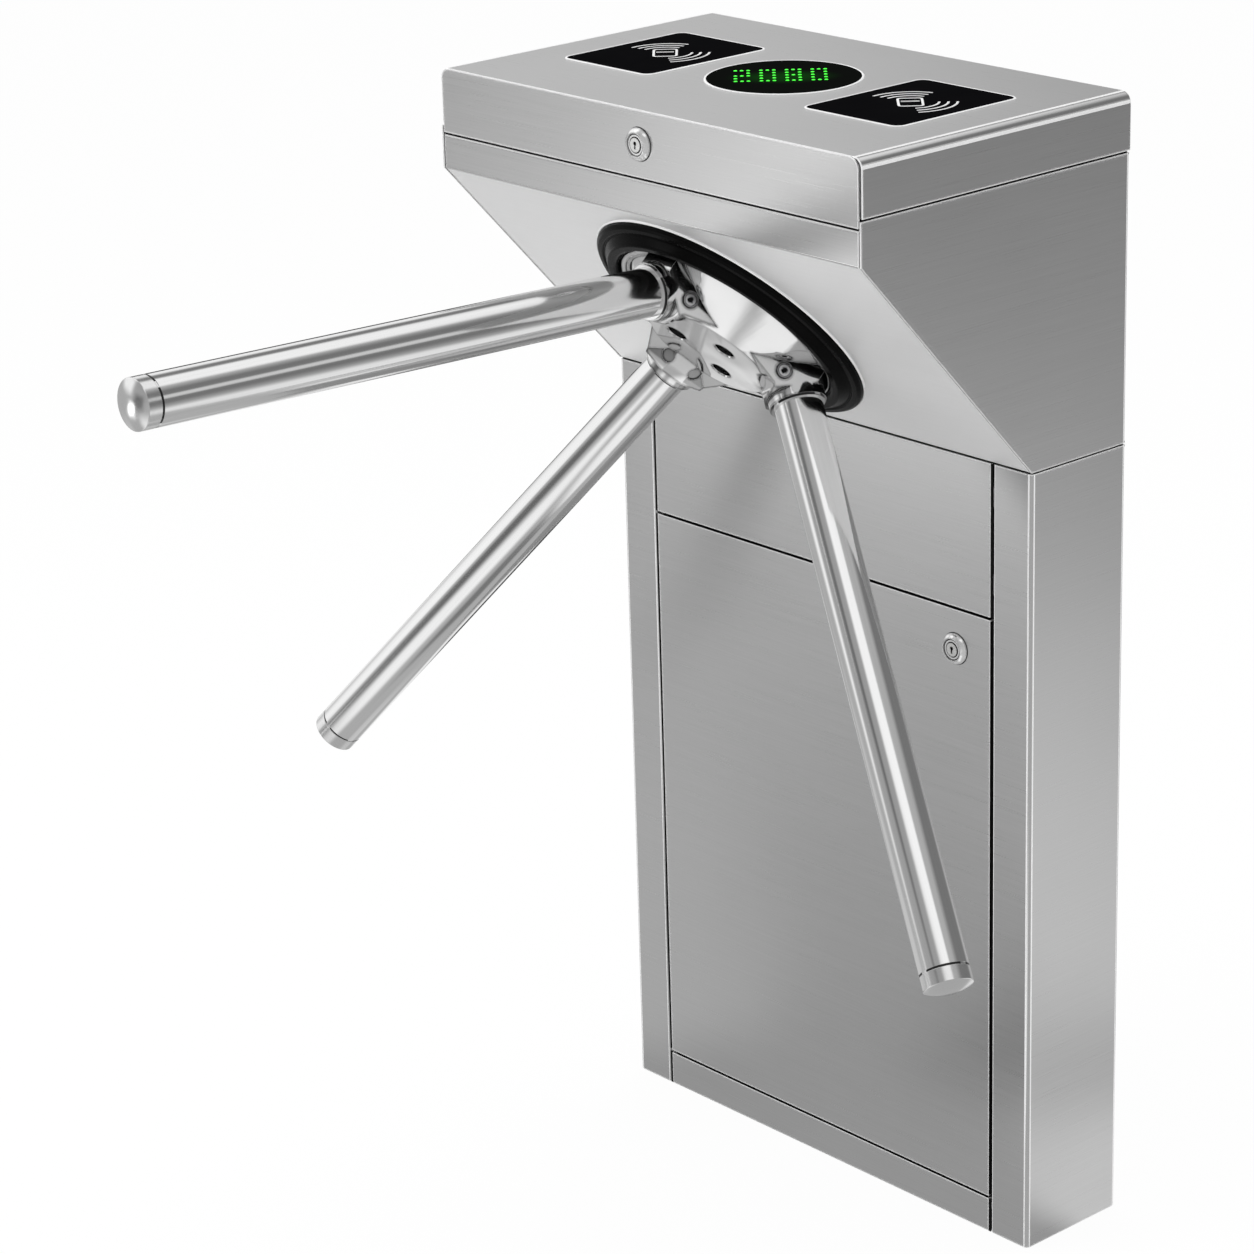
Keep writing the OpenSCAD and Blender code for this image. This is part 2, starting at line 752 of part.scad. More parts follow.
module lock_core(len, cam) {
    difference() {
        union() {
            translate([0, 0, -len - 0.5])
                cylinder(h = len + 0.5 + lock_face_h * 0.9, d = lock_barrel_dia);
            translate([0, 0, -len - 0.5 - cam_t]) {
                cylinder(h = cam_t, d = lock_barrel_dia);
                if (cam > 0) {
                    translate([-cam_w / 2, -cam + cam_w / 2, 0])
                        cube([cam_w, cam - cam_w / 2, cam_t]);
                    translate([0, -cam + cam_w / 2, 0]) cylinder(h = cam_t, d = cam_w);
                }
            }
        }
        translate([0, 0, lock_face_h * 0.9 - 2]) linear_extrude(3) {
            translate([0, 1.2]) circle(d = 3, $fn = 24);
            translate([-0.6, -3.2]) square([1.2, 4]);
        }
    }
}

module lid_lock_place() {
    translate([0, front_y, lid_lock_z]) rotate([90, 0, 0]) children();
}

module door_lock_place() {
    translate([door_lock_x, face_y, door_lock_z]) rotate([90, 0, 0]) children();
}

module key_switch_place() {
    translate([-half_w, face_y + key_switch_front, key_switch_z])
        rotate([90, 0, -90]) children();
}

module lid_lock_body() {
    color("silver") lid_lock_place() lock_body(lock_body_len + sheet);
}

module lid_lock_core() {
    color("gray") lid_lock_place() lock_core(lock_body_len + sheet, lid_cam_len);
}

module door_lock_body() {
    color("silver") door_lock_place() lock_body(lock_body_len + sheet);
}

module door_lock_core() {
    color("gray") door_lock_place() lock_core(lock_body_len + sheet, door_cam_len);
}

module key_switch_body() {
    color("silver") key_switch_place() lock_body(lock_body_len + sheet);
}

module key_switch_core() {
    color("gray") key_switch_place() lock_core(lock_body_len + sheet, 0);
}

module key_switch_block() {
    back = lock_body_len + sheet;
    color("dimgray") key_switch_place() translate([0, 0, -back - 14]) difference() {
        translate([-11, -11, 0]) cube([22, 22, 20]);
        translate([0, 0, 9]) cylinder(h = 12, r = lock_body_dia / 2 + 0.05);
    }
}

// Door
module door_panel() {
    boss_r = 7;
    boss_h = 6;
    color("silver") difference() {
        union() {
            front_tray(door_bottom, door_top_z, door_fold);
            for (z = [door_bottom, door_top_z - boss_h])
                translate([pivot_x, pivot_y, z]) intersection() {
                    cylinder(h = boss_h, r = boss_r);
                    box_at([-pivot_inset, -pivot_inset, 0], [boss_r, boss_r, boss_h]);
                }
        }
        for (z = [door_bottom - 1, door_top_z - boss_h - 1])
            translate([pivot_x, pivot_y, z])
                cylinder(h = boss_h + 2, r = pivot_dia / 2 + run_clear);
        translate([door_lock_x, face_y - 1, door_lock_z]) rotate([-90, 0, 0])
            cylinder(h = sheet + 2, r = lock_hole_r);
    }
}

module door_pivots() {
    long = sheet + door_gap + 5;
    color("gray") for (z = [rail_h - sheet, upper_z + sheet - long])
        translate([pivot_x, pivot_y, z]) cylinder(h = long, d = pivot_dia);
}

// Rubber ring on the sloped panel, round the hub
module hub_ring() {
    inner = hub_r + hub_gap;
    outer = ring_dia / 2;
    w = outer - inner;
    color("black") on_slope() rotate_extrude($fn = 128) polygon([
        [inner, 0], [outer, 0], [outer, ring_h * 0.28], [outer - w * 0.12, ring_h * 0.46],
        [outer - w * 0.3, ring_h * 0.52], [outer - w * 0.36, ring_h * 0.38],
        [outer - w * 0.42, ring_h * 0.56], [outer - w * 0.6, ring_h * 0.84],
        [outer - w * 0.66, ring_h], [inner + w * 0.12, ring_h], [inner, ring_h * 0.9]
    ]);
}

// Hub: a shallow cone with a flat face
module hub_cone() {
    rim = 9;
    wall = 5;
    pocket_r = flange_r + 0.5;
    pocket_z = hub_gap + flange_t;
    on_slope() rotate_extrude($fn = 128) polygon([
        [0, pocket_z], [pocket_r, pocket_z], [pocket_r, hub_gap], [pocket_r + wall, hub_gap],
        [pocket_r + wall, hub_h - wall - 2], [face_r - 4, hub_h - wall - 2],
        [hub_r - 12, rim - 4], [hub_r - 10, hub_gap], [hub_r - 2, hub_gap], [hub_r, hub_gap + 2],
        [hub_r, rim - 1.5], [hub_r - 1.5, rim], [hub_r - 5, rim], [hub_r - 6, rim - 1.2],
        [hub_r - 8, rim - 1.2], [hub_r - 9, rim], [face_r, hub_h - 0.8],
        [face_r - 1.5, hub_h], [0, hub_h]
    ]);
}

// Boss: side walls tangent to the front face, under a ramp and a roof along the arm
module hub_boss(k) {
    ridge = (collar_r + roof_wall) / cos(roof_slope) - boss_roof;
    eaves = boss_roof + ridge - hub_r * tan(roof_slope);
    intersection() {
        on_slope(hub_gap) rotate([0, 0, -120 * k]) intersection() {
            linear_extrude(3 * hub_h) polygon([
                [-wall_near[0], wall_near[1]], wall_near, wall_far, [-wall_far[0], wall_far[1]]]);
            cylinder(h = 3 * hub_h, r = hub_r - 2);
        }
        on_arm(k) linear_extrude(boss_end) square(2 * hub_r, center = true);
        union() {
            on_slope() rotate([0, 0, -120 * k]) translate([0, ramp_y, hub_h])
                rotate([boss_ramp, 0, 0]) translate([-hub_r, -hub_r, -hub_r])
                    cube([2 * hub_r, 2 * hub_r, hub_r]);
            on_arm(k) rotate([0, 0, 180]) linear_extrude(boss_end) polygon([
                [-hub_r, -hub_r], [hub_r, -hub_r], [hub_r, eaves],
                [ridge / tan(roof_slope), boss_roof], [-ridge / tan(roof_slope), boss_roof],
                [-hub_r, eaves]]);
        }
    }
}

// Placement on a boss's side wall: Z points out of the wall
module on_wall(k, s) {
    on_slope()
        rotate([0, 0, -120 * k]) mirror([s < 0 ? 1 : 0, 0, 0])
            translate([clamp_x, clamp_y, clamp_z])
                rotate([0, 90, boss_close]) children();
}

module at_hub_bolts() {
    on_slope() for (i = [0:hub_bolt_count - 1])
        rotate([0, 0, -hub_bolt_turn - 360 * i / hub_bolt_count])
            translate([0, hub_bolt_circle / 2, 0]) children();
}

module hub() {
    color("silver") difference() {
        union() {
            hub_cone();
            for (k = [0:2]) {
                hub_boss(k);
                on_arm(k, arm_seat) cylinder(h = collar_end - arm_seat, r = collar_r);
            }
        }
        on_slope(-hub_h) cylinder(h = hub_h + hub_gap, r = 2 * hub_r);
        on_slope(-1) cylinder(h = 1 + hub_gap + flange_t, r = flange_r + 0.5);
        on_slope(hub_gap + flange_t - 1) cylinder(h = spigot_len + 2, r = shaft_r + 0.05);
        for (k = [0:2]) {
            on_arm(k, arm_seat) cylinder(h = 60, r = arm_r + 0.05);
            on_arm(k, arm_seat - 20) cylinder(h = 21, r = arm_r - 6);
            for (s = [-1, 1]) {
                on_wall(k, s) translate([0, 0, -clamp_len - 0.5]) cylinder(h = clamp_len + 1, r = 4);
                on_wall(k, s) translate([0, 0, -1.5]) cylinder(h = 20, r = 7.2);
                on_arm(k, boss_end - 14) rotate([0, 0, 180 + s * roof_slope])
                    translate([0, collar_r + roof_wall - 1, 0])
                        rotate([-90, 0, 0]) cylinder(h = 20, r = 6);
            }
        }
        at_hub_bolts() {
            cylinder(h = hub_h, r = 4.2);
            translate([0, 0, well_floor]) cylinder(h = hub_h, d = hub_well_dia);
            translate([0, 0, hub_h - 1])
                cylinder(h = 1.01, d1 = hub_well_dia, d2 = hub_well_dia + 2);
        }
    }
}

module hub_bolts() {
    color("gray") at_hub_bolts() difference() {
        union() {
            translate([0, 0, well_floor]) cylinder(h = 8, d = 13);
            translate([0, 0, hub_gap + 2]) cylinder(h = well_floor - hub_gap - 2, r = 3.9);
        }
        translate([0, 0, well_floor + 4]) cylinder(h = 5, d = 7, $fn = 6);
    }
}

// Clamping screws in the side walls of the bosses
module boss_screws() {
    color("gray") for (k = [0:2], s = [-1, 1]) on_wall(k, s) difference() {
        union() {
            translate([0, 0, -clamp_len]) cylinder(h = clamp_len - 1.5, r = 3.9);
            translate([0, 0, -1.5]) cylinder(h = 2.2, r1 = 6.6, r2 = 5.8);
        }
        translate([0, 0, -2]) cylinder(h = 4, d = 6, $fn = 6);
    }
}

// Arms
module arm_tube(k) {
    color("silver") on_arm(k, arm_seat) difference() {
        cylinder(h = tube_end - arm_ring_t - arm_seat, r = arm_r);
        translate([0, 0, -1])
            cylinder(h = tube_end - arm_seat + 2, r = arm_r - arm_wall);
    }
}

module arm_upper() {
    arm_tube(0);
}

module arm_right() {
    arm_tube(1);
}

module arm_left() {
    arm_tube(2);
}

// Height of an end cap's dome at a radius
function dome_z(r) =
    let (big = (arm_r * arm_r + cap_dome * cap_dome) / (2 * cap_dome))
    cap_len + sqrt(big * big - r * r) - big + cap_dome;

// Hollow end caps, each with a plug in its tube and a shallow dome
module arm_caps() {
    wall = 2.5;
    plug_r = arm_r - arm_wall - 0.05;
    plug = 18;
    color("silver") for (k = [0:2]) on_arm(k, tube_end) rotate_extrude($fn = 64) polygon(concat(
        [[plug_r - wall, -plug], [plug_r, -plug], [plug_r, 0], [arm_r, 0]],
        [for (i = [0:7]) let (r = arm_r * (7 - i) / 7) [r, dome_z(r)]],
        [for (i = [0:5]) let (r = (plug_r - wall) * i / 5) [r, dome_z(r) - wall]]));
}

// Black rings at the collars and under the end caps
module arm_rings() {
    color("black") for (k = [0:2]) {
        on_arm(k, collar_end) difference() {
            cylinder(h = arm_ring_t, r = arm_r + collar_wall * 0.6);
            translate([0, 0, -1]) cylinder(h = arm_ring_t + 2, r = arm_r);
        }
        on_arm(k, tube_end - arm_ring_t) difference() {
            cylinder(h = arm_ring_t, r = arm_r - 0.4);
            translate([0, 0, -1]) cylinder(h = arm_ring_t + 2, r = arm_r - arm_wall);
        }
    }
}

// Main shaft with the flange that the hub is bolted to
module main_shaft() {
    color("gray") on_slope() difference() {
        union() {
            translate([0, 0, hub_gap]) cylinder(h = flange_t, r = flange_r);
            translate([0, 0, -shaft_back])
                cylinder(h = shaft_back + hub_gap + flange_t + spigot_len, r = shaft_r);
            translate([0, 0, -gear_z - wheel_t - 7]) cylinder(h = 6.5, r = 22, $fn = 6);
        }
        translate([0, 0, -shaft_back - 1]) cylinder(h = shaft_back, r = 7);
        for (i = [0:hub_bolt_count - 1])
            rotate([0, 0, -hub_bolt_turn - 360 * i / hub_bolt_count])
                translate([0, hub_bolt_circle / 2, hub_gap - 1])
                    cylinder(h = flange_t + 2, r = 4);
    }
}

module at_plate_posts() {
    for (x = [-1, 1], y = [mech_top - mech_inset, mech_low + mech_inset])
        translate([x * (mech_w / 2 - mech_inset), y, 0]) children();
}

module mechanism_plate() {
    clear = (mech_w - housing_dia) / 2 - 16;
    color("gray") on_slope(-plate_back) difference() {
        linear_extrude(plate_t) translate([0, (mech_top + mech_low) / 2])
            polygon(box_loop(mech_w, mech_top - mech_low, 8));
        translate([0, 0, -1]) cylinder(h = plate_t + 2, r = bearing_r - 3);
        translate([-(housing_dia + 2 * 16 + clear) / 2, -20, -1])
            linear_extrude(plate_t + 2) polygon(box_loop(clear - 20, 120, 8));
        translate([pinion_x, 0, -1]) cylinder(h = plate_t + 2, r = 12);
        translate([0, 0, -1]) at_plate_posts() cylinder(h = plate_t + 2, r = post_r / 2 + 0.2);
    }
}

module plate_posts() {
    color("gray") on_slope(-plate_depth) at_plate_posts() {
        cylinder(h = plate_depth - sheet, r = post_r);
        translate([0, 0, -plate_t - 5]) cylinder(h = plate_t + 5, r = post_r / 2);
        translate([0, 0, -plate_t - 5]) cylinder(h = 5, r = post_r - 1, $fn = 6);
    }
}

module bearing_housing() {
    color("gray") on_slope(-plate_depth) difference() {
        union() {
            cylinder(h = 9, r = housing_dia / 2 + 16);
            cylinder(h = plate_depth - housing_front, d = housing_dia);
        }
        translate([0, 0, -1]) cylinder(h = plate_depth, r = bearing_r - 4);
        translate([0, 0, 3]) cylinder(h = bearing_w, r = bearing_r + 0.02);
        translate([0, 0, -1]) cylinder(h = 5, r = bearing_r + 0.02);
        translate([0, 0, plate_depth - housing_front - bearing_w - 3])
            cylinder(h = bearing_w + 4, r = bearing_r + 0.02);
        for (i = [0:5]) rotate([0, 0, 60 * i]) translate([housing_dia / 2 + 9, 0, -1])
            cylinder(h = 11, r = 3.3);
    }
}

// Cap screws through the housing's flange into the mechanism plate
module housing_screws() {
    color("gray") on_slope(-plate_depth) for (i = [0:5])
        rotate([0, 0, 60 * i]) translate([housing_dia / 2 + 9, 0, 0]) difference() {
            union() {
                cylinder(h = 9, r = 3);
                translate([0, 0, 9]) cylinder(h = 6, r = 5);
            }
            translate([0, 0, 12]) cylinder(h = 4, r = 2.9, $fn = 6);
        }
}

module bearing() {
    rotate_extrude($fn = 96) polygon([
        [shaft_r + run_clear, 0], [shaft_r + 5, 0], [shaft_r + 5, 1], [bearing_r - 5, 1],
        [bearing_r - 5, 0], [bearing_r, 0], [bearing_r, bearing_w], [bearing_r - 5, bearing_w],
        [bearing_r - 5, bearing_w - 1], [shaft_r + 5, bearing_w - 1], [shaft_r + 5, bearing_w],
        [shaft_r + run_clear, bearing_w]
    ]);
}

module bearings() {
    color("silver") on_slope(-plate_depth) {
        translate([0, 0, 3]) bearing();
        translate([0, 0, plate_depth - housing_front - bearing_w - 3]) bearing();
    }
}

// Locking wheel with its notches, and the pawls that drop into them
module lock_wheel() {
    pitch = 360 / notch_count;
    color("gray") on_slope(-wheel_z - wheel_t) difference() {
        union() {
            linear_extrude(wheel_t) polygon([
                for (i = [0:notch_count - 1]) for (q = [
                    [notch_r, -0.17], [wheel_r, -0.27], [wheel_r, -0.5], [wheel_r, -0.73],
                    [notch_r, -0.83]])
                    let (a = pitch * (-i + q[1])) q[0] * [cos(a), sin(a)]
            ]);
            translate([0, 0, -2.8]) cylinder(h = wheel_t + 2.8 + 2, r = shaft_r + 7);
        }
        translate([0, 0, -4]) cylinder(h = wheel_t + 8, r = shaft_r + 0.02);
        for (i = [0:5]) rotate([0, 0, 60 * i]) translate([(notch_r + shaft_r + 7) / 2, 0, -1])
            cylinder(h = wheel_t + 2, r = 9);
    }
}

module main_gear() {
    color("gray") on_slope(-gear_z - wheel_t) difference() {
        linear_extrude(wheel_t) polygon(gear_points(gear_teeth, gear_module, backlash));
        translate([0, 0, -1]) cylinder(h = wheel_t + 2, r = shaft_r + 0.02);
        for (i = [0:5]) rotate([0, 0, 60 * i]) translate([(gear_r + shaft_r) / 2, 0, -1])
            cylinder(h = wheel_t + 2, r = 14);
    }
}

module damper() {
    color("dimgray") on_slope(-plate_depth) translate([pinion_x, 0, 0]) difference() {
        union() {
            cylinder(h = damper_len, d = damper_dia);
            cylinder(h = 4, d = damper_dia + 6);
            translate([0, 0, damper_len]) cylinder(h = 4, d = damper_dia - 16);
        }
        translate([0, 0, -1]) cylinder(h = damper_len / 2 + 1, r = pinion_bore + run_clear);
    }
}

module damper_pinion() {
    stem = gear_z + wheel_t - plate_depth + damper_len / 2;
    color("gray") on_slope(-gear_z - wheel_t - 1) translate([pinion_x, 0, 0]) union() {
        rotate([0, 0, 180 + 180 / pinion_teeth]) linear_extrude(wheel_t + 2)
            polygon(gear_points(pinion_teeth, gear_module, backlash));
        translate([0, 0, -3]) cylinder(h = stem, r = pinion_bore);
    }
}

// Pawl, drawn in a notch and then turned clear of the wheel
module pawl(side) {
    on_slope(-wheel_z - wheel_t) mirror([side < 0 ? 1 : 0, 0, 0])
        translate([pawl_x, pawl_y, 0]) rotate([0, 0, pawl_lift])
            difference() {
                union() {
                    cylinder(h = wheel_t, r = pawl_eye);
                    linear_extrude(wheel_t) polygon([
                        [0, -pawl_rise + 4], [0, 8], [-20, 1],
                        pawl_nose(7, 4.6), pawl_nose(0, 1.6), pawl_nose(0, -1.6), pawl_nose(7, -4.6),
                        [-pawl_reach - 4, -pawl_rise + 6], [-pawl_reach + 2, -pawl_rise + 4]
                    ]);
                }
                translate([0, 0, -1]) cylinder(h = wheel_t + 2, r = pawl_pin + run_clear);
            }
}

// Point on a pawl's nose, at a distance outward from its tip and to one side
function pawl_nose(out, side) =
    let (a = -tip_angle)
    (tip_r + out) * [cos(a), sin(a)] + side * [-sin(a), cos(a)] - [pawl_x, pawl_y];

module pawl_right() {
    color("gray") pawl(1);
}

module pawl_left() {
    color("gray") pawl(-1);
}

// Plungers under the pawls, and the solenoids that push them
function plunger_top() =
    pawl_y + (-pawl_rise + 4 - 25 * sin(pawl_lift)) / cos(pawl_lift)
        - plunger_gap - plunger_r * (1 / cos(pawl_lift) - 1);

module plunger(side) {
    on_slope(-wheel_z - wheel_t / 2) translate([side * plunger_x, 0, 0]) {
        translate([0, plunger_top() - plunger_r, 0]) sphere(r = plunger_r, $fn = 48);
        translate([0, plunger_top() - plunger_r, 0]) rotate([90, 0, 0])
            cylinder(h = plunger_top() - plunger_r - solenoid_top + 16, r = plunger_r);
    }
}

module plunger_right() {
    color("silver") plunger(1);
}

module plunger_left() {
    color("silver") plunger(-1);
}

module solenoids() {
    tall = 2 * (wheel_z + wheel_t / 2 - plate_back);
    color("dimgray") on_slope(-plate_back - tall) for (s = [-1, 1]) difference() {
        translate([s * plunger_x - solenoid_w / 2, solenoid_top - solenoid_h, 0])
            cube([solenoid_w, solenoid_h, tall]);
        translate([s * plunger_x, solenoid_top + 1, tall / 2]) rotate([90, 0, 0])
            cylinder(h = 25, r = plunger_r + run_clear);
    }
}

// Pins that the pawls turn on, each with a shoulder
module pawl_pins() {
    color("silver") on_slope(-plate_back) for (s = [-1, 1])
        translate([s * pawl_x, pawl_y, -wheel_z - wheel_t + plate_back - 1]) {
            cylinder(h = wheel_z + wheel_t - plate_back + 1, r = pawl_pin);
            translate([0, 0, wheel_t + 1.3]) cylinder(h = wheel_z - plate_back - 0.3, r = pawl_pin + 3);
        }
}

// Electrics on the back wall
module control_box() {
    t = 2;
    z = head_seat_z + 20;
    y = back_y - sheet;
    color("dimgray") difference() {
        box_at([-control_w / 2, y - control_d, z], [control_w / 2, y, z + control_h]);
        box_at([-control_w / 2 + t, y - control_d + t, z + t],
            [control_w / 2 - t, y - t, z + control_h - t]);
    }
}

module power_supply() {
    t = 1.2;
    ear = 12;
    y = back_y - sheet;
    color("gray") union() {
        difference() {
            box_at([-supply_w / 2, y - supply_d, supply_z],
                [supply_w / 2, y, supply_z + supply_h]);
            box_at([-supply_w / 2 + t, y - supply_d + t, supply_z + t],
                [supply_w / 2 - t, y - t, supply_z + supply_h - t]);
        }
        for (s = [-1, 1])
            translate([s * (supply_w + ear) / 2, y - t / 2, supply_z + supply_h / 2])
                cube([ear, t, supply_h - 2 * ear], center = true);
    }
}

// Transformer of the power supply: laminated core with its winding
module transformer() {
    y = back_y - sheet - 1.2;
    z = supply_z + supply_h / 2;
    wind_w = core_w * 2 / 3;
    wind_h = core_h + 16;
    color("dimgray") union() {
        box_at([-core_w / 2, y - core_d, z - core_h / 2], [core_w / 2, y, z + core_h / 2]);
        box_at([-wind_w / 2, y - core_d, z - wind_h / 2], [wind_w / 2, y, z + wind_h / 2]);
    }
}

pedestal_shell();
upper_panel();
bottom_rail();
base_plate();
back_posts();
head_gasket();
head_shell();
sloped_panel();
lid_seal();
lid_strike();
lid_hinge_fixed();
lid_hinge_pins();
hub_ring();
mechanism_plate();
plate_posts();
bearing_housing();
housing_screws();
bearings();
damper();
solenoids();
pawl_pins();
control_box();
power_supply();
transformer();
door_pivots();
key_switch_body();
key_switch_block();
hub();
hub_bolts();
boss_screws();
arm_upper();
arm_right();
arm_left();
arm_caps();
arm_rings();
main_shaft();
lock_wheel();
main_gear();
damper_pinion();
pawl_right();
pawl_left();
plunger_right();
plunger_left();
lid_shell();
lid_front();
reader_window_left();
reader_window_right();
display_window();
reader_modules();
display_module();
lid_hinge_moving();
lid_lock_body();
lid_lock_core();
door_panel();
door_lock_body();
door_lock_core();
key_switch_core();
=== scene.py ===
import json
import math
import bpy
import bmesh
from mathutils import Matrix, Vector

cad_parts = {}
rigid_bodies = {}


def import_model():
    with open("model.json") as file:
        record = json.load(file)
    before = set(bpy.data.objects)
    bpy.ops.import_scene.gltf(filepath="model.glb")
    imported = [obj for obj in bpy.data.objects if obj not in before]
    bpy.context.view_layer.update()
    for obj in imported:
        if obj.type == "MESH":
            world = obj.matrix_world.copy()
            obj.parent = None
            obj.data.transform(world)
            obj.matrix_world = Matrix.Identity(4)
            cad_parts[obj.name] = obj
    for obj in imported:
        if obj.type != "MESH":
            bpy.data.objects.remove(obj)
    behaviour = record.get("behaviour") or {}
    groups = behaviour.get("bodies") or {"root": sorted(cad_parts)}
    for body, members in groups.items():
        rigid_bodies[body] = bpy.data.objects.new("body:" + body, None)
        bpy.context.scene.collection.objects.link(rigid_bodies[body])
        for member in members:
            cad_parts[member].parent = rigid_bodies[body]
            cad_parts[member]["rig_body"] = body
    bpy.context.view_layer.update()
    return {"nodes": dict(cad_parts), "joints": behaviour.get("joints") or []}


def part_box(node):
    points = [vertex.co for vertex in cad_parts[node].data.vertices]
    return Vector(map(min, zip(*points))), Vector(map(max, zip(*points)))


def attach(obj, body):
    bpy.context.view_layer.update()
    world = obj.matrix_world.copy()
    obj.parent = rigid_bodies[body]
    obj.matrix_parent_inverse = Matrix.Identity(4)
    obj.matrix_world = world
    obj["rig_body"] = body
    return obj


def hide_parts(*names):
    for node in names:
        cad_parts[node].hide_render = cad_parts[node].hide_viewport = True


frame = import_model()
nodes = frame["nodes"]
joints = {j["name"]: j for j in frame["joints"]}
print("frame loaded:", len(nodes), "nodes")

# Directions of the hub: out of the sloped panel, and up along it
hubCentre = Vector(joints["hub_spin"]["pos_m"])
hubOut = -Vector(joints["hub_spin"]["axis"]).normalized()
hubUp = Vector((0, hubOut.z, -hubOut.y))
hubAcross = Vector((1, 0, 0))
hubFrame = Matrix.Translation(hubCentre) @ Matrix((
    (1, hubUp.x, hubOut.x), (0, hubUp.y, hubOut.y), (0, hubUp.z, hubOut.z))).to_4x4()

# The arms stand on a cone round the hub's axis, each at its own turn
armTurns = {"arm_upper": 0, "arm_right": 120, "arm_left": -120}
armCone = {"angle": 44.66, "apexDepth": 0.050}


# Node helpers, for shaders and for geometry

def newMaterial(name):
    material = bpy.data.materials.new(name)
    material.use_nodes = True
    tree = material.node_tree
    shader = tree.nodes["Principled BSDF"]
    return material, tree, shader


def addNode(tree, kind, **settings):
    # A setting is the value of an input or a socket to link to it, or else a property of the node
    node = tree.nodes.new(kind)
    for key, value in settings.items():
        if key not in node.inputs:
            setattr(node, key, value)
        elif isinstance(value, bpy.types.NodeSocket):
            tree.links.new(value, node.inputs[key])
        else:
            node.inputs[key].default_value = value
    return node


def calculate(tree, operation, *values):
    node = addNode(tree, "ShaderNodeMath", operation=operation)
    for socket, value in zip(node.inputs, values):
        if isinstance(value, bpy.types.NodeSocket):
            tree.links.new(value, socket)
        else:
            socket.default_value = value
    return node.outputs["Value"]


def noiseAt(tree, scale, detail=3.0, turn=(0, 0, 0)):
    # The texture kind of mapping turns first and then scales, so the grain follows the turned axes
    coords = addNode(tree, "ShaderNodeTexCoord")
    mapping = addNode(tree, "ShaderNodeMapping", vector_type="TEXTURE", Vector=coords.outputs["Object"],
                      Rotation=turn, Scale=[1 / s for s in scale])
    noise = addNode(tree, "ShaderNodeTexNoise", Vector=mapping.outputs["Vector"], Scale=1.0, Detail=detail)
    return noise.outputs["Fac"]


def evenNoise(tree, scale, detail=3.0):
    return noiseAt(tree, (scale, scale, scale), detail)


def remap(tree, value, low, high, fromLow=0.3, fromHigh=0.7, kind="LINEAR"):
    limits = {"From Min": fromLow, "From Max": fromHigh, "To Min": low, "To Max": high}
    return addNode(tree, "ShaderNodeMapRange", interpolation_type=kind, Value=value,
                   **limits).outputs["Result"]


def blendValues(tree, factor, a, b):
    return addNode(tree, "ShaderNodeMix", data_type="FLOAT", Factor=factor, A=a, B=b).outputs["Result"]


def greyTone(tree, value, tint=(1, 1, 1)):
    # Turns a brightness into a colour of one tint
    node = addNode(tree, "ShaderNodeMix", data_type="RGBA", blend_type="MULTIPLY",
                   Factor=1.0, A=value, B=(*tint, 1))
    return node.outputs["Result"]


def bump(tree, value, strength, distance):
    node = addNode(tree, "ShaderNodeBump", Strength=strength, Distance=distance, Height=value)
    return node.outputs["Normal"]


def edgeTurn(tree, reach):
    # 1 on a face, falling within the reach of an edge to 0.71 on a square edge itself
    flat = addNode(tree, "ShaderNodeNewGeometry")
    soft = addNode(tree, "ShaderNodeBevel", samples=4, Radius=reach)
    same = addNode(tree, "ShaderNodeVectorMath", operation="DOT_PRODUCT")
    tree.links.new(flat.outputs["Normal"], same.inputs[0])
    tree.links.new(soft.outputs["Normal"], same.inputs[1])
    return same.outputs["Value"]


# Brushed sheet: fine lines along X on the front, the slope and the top, and along Y on the sides.
# Along each edge runs a painted highlight, with a thin line of painted shade where it meets the face.

brushing = {"fineDensity": 1900.0, "broadDensity": 700.0, "lineLength": 11.0, "broadLength": 0.3,
            "broadShare": 0.10, "tone": 0.62, "toneSpread": 0.024, "cloudScale": 5,
            "cloudSpread": 0.012, "roughness": 0.30, "roughnessSpread": 0.03, "bump": 0.015,
            "bumpHeight": 0.0001, "edgeReach": 0.0032, "edgeDark": 0.30, "edgeLine": (0.93, 0.99),
            "paintedHighlightStep": (0.84, 0.90), "paintedHighlightTone": 0.95, "paintedHighlightMetallic": 0.25, "sideStep": (0.6, 0.8)}


def brushLines(tree, dense, slow):
    alongX = noiseAt(tree, (slow, dense, dense))
    alongY = noiseAt(tree, (dense, slow, dense))
    coords = addNode(tree, "ShaderNodeTexCoord")
    split = addNode(tree, "ShaderNodeSeparateXYZ", Vector=coords.outputs["Normal"])
    side = calculate(tree, "ABSOLUTE", split.outputs["X"])
    return blendValues(tree, remap(tree, side, 0, 1, *brushing["sideStep"]), alongX, alongY)


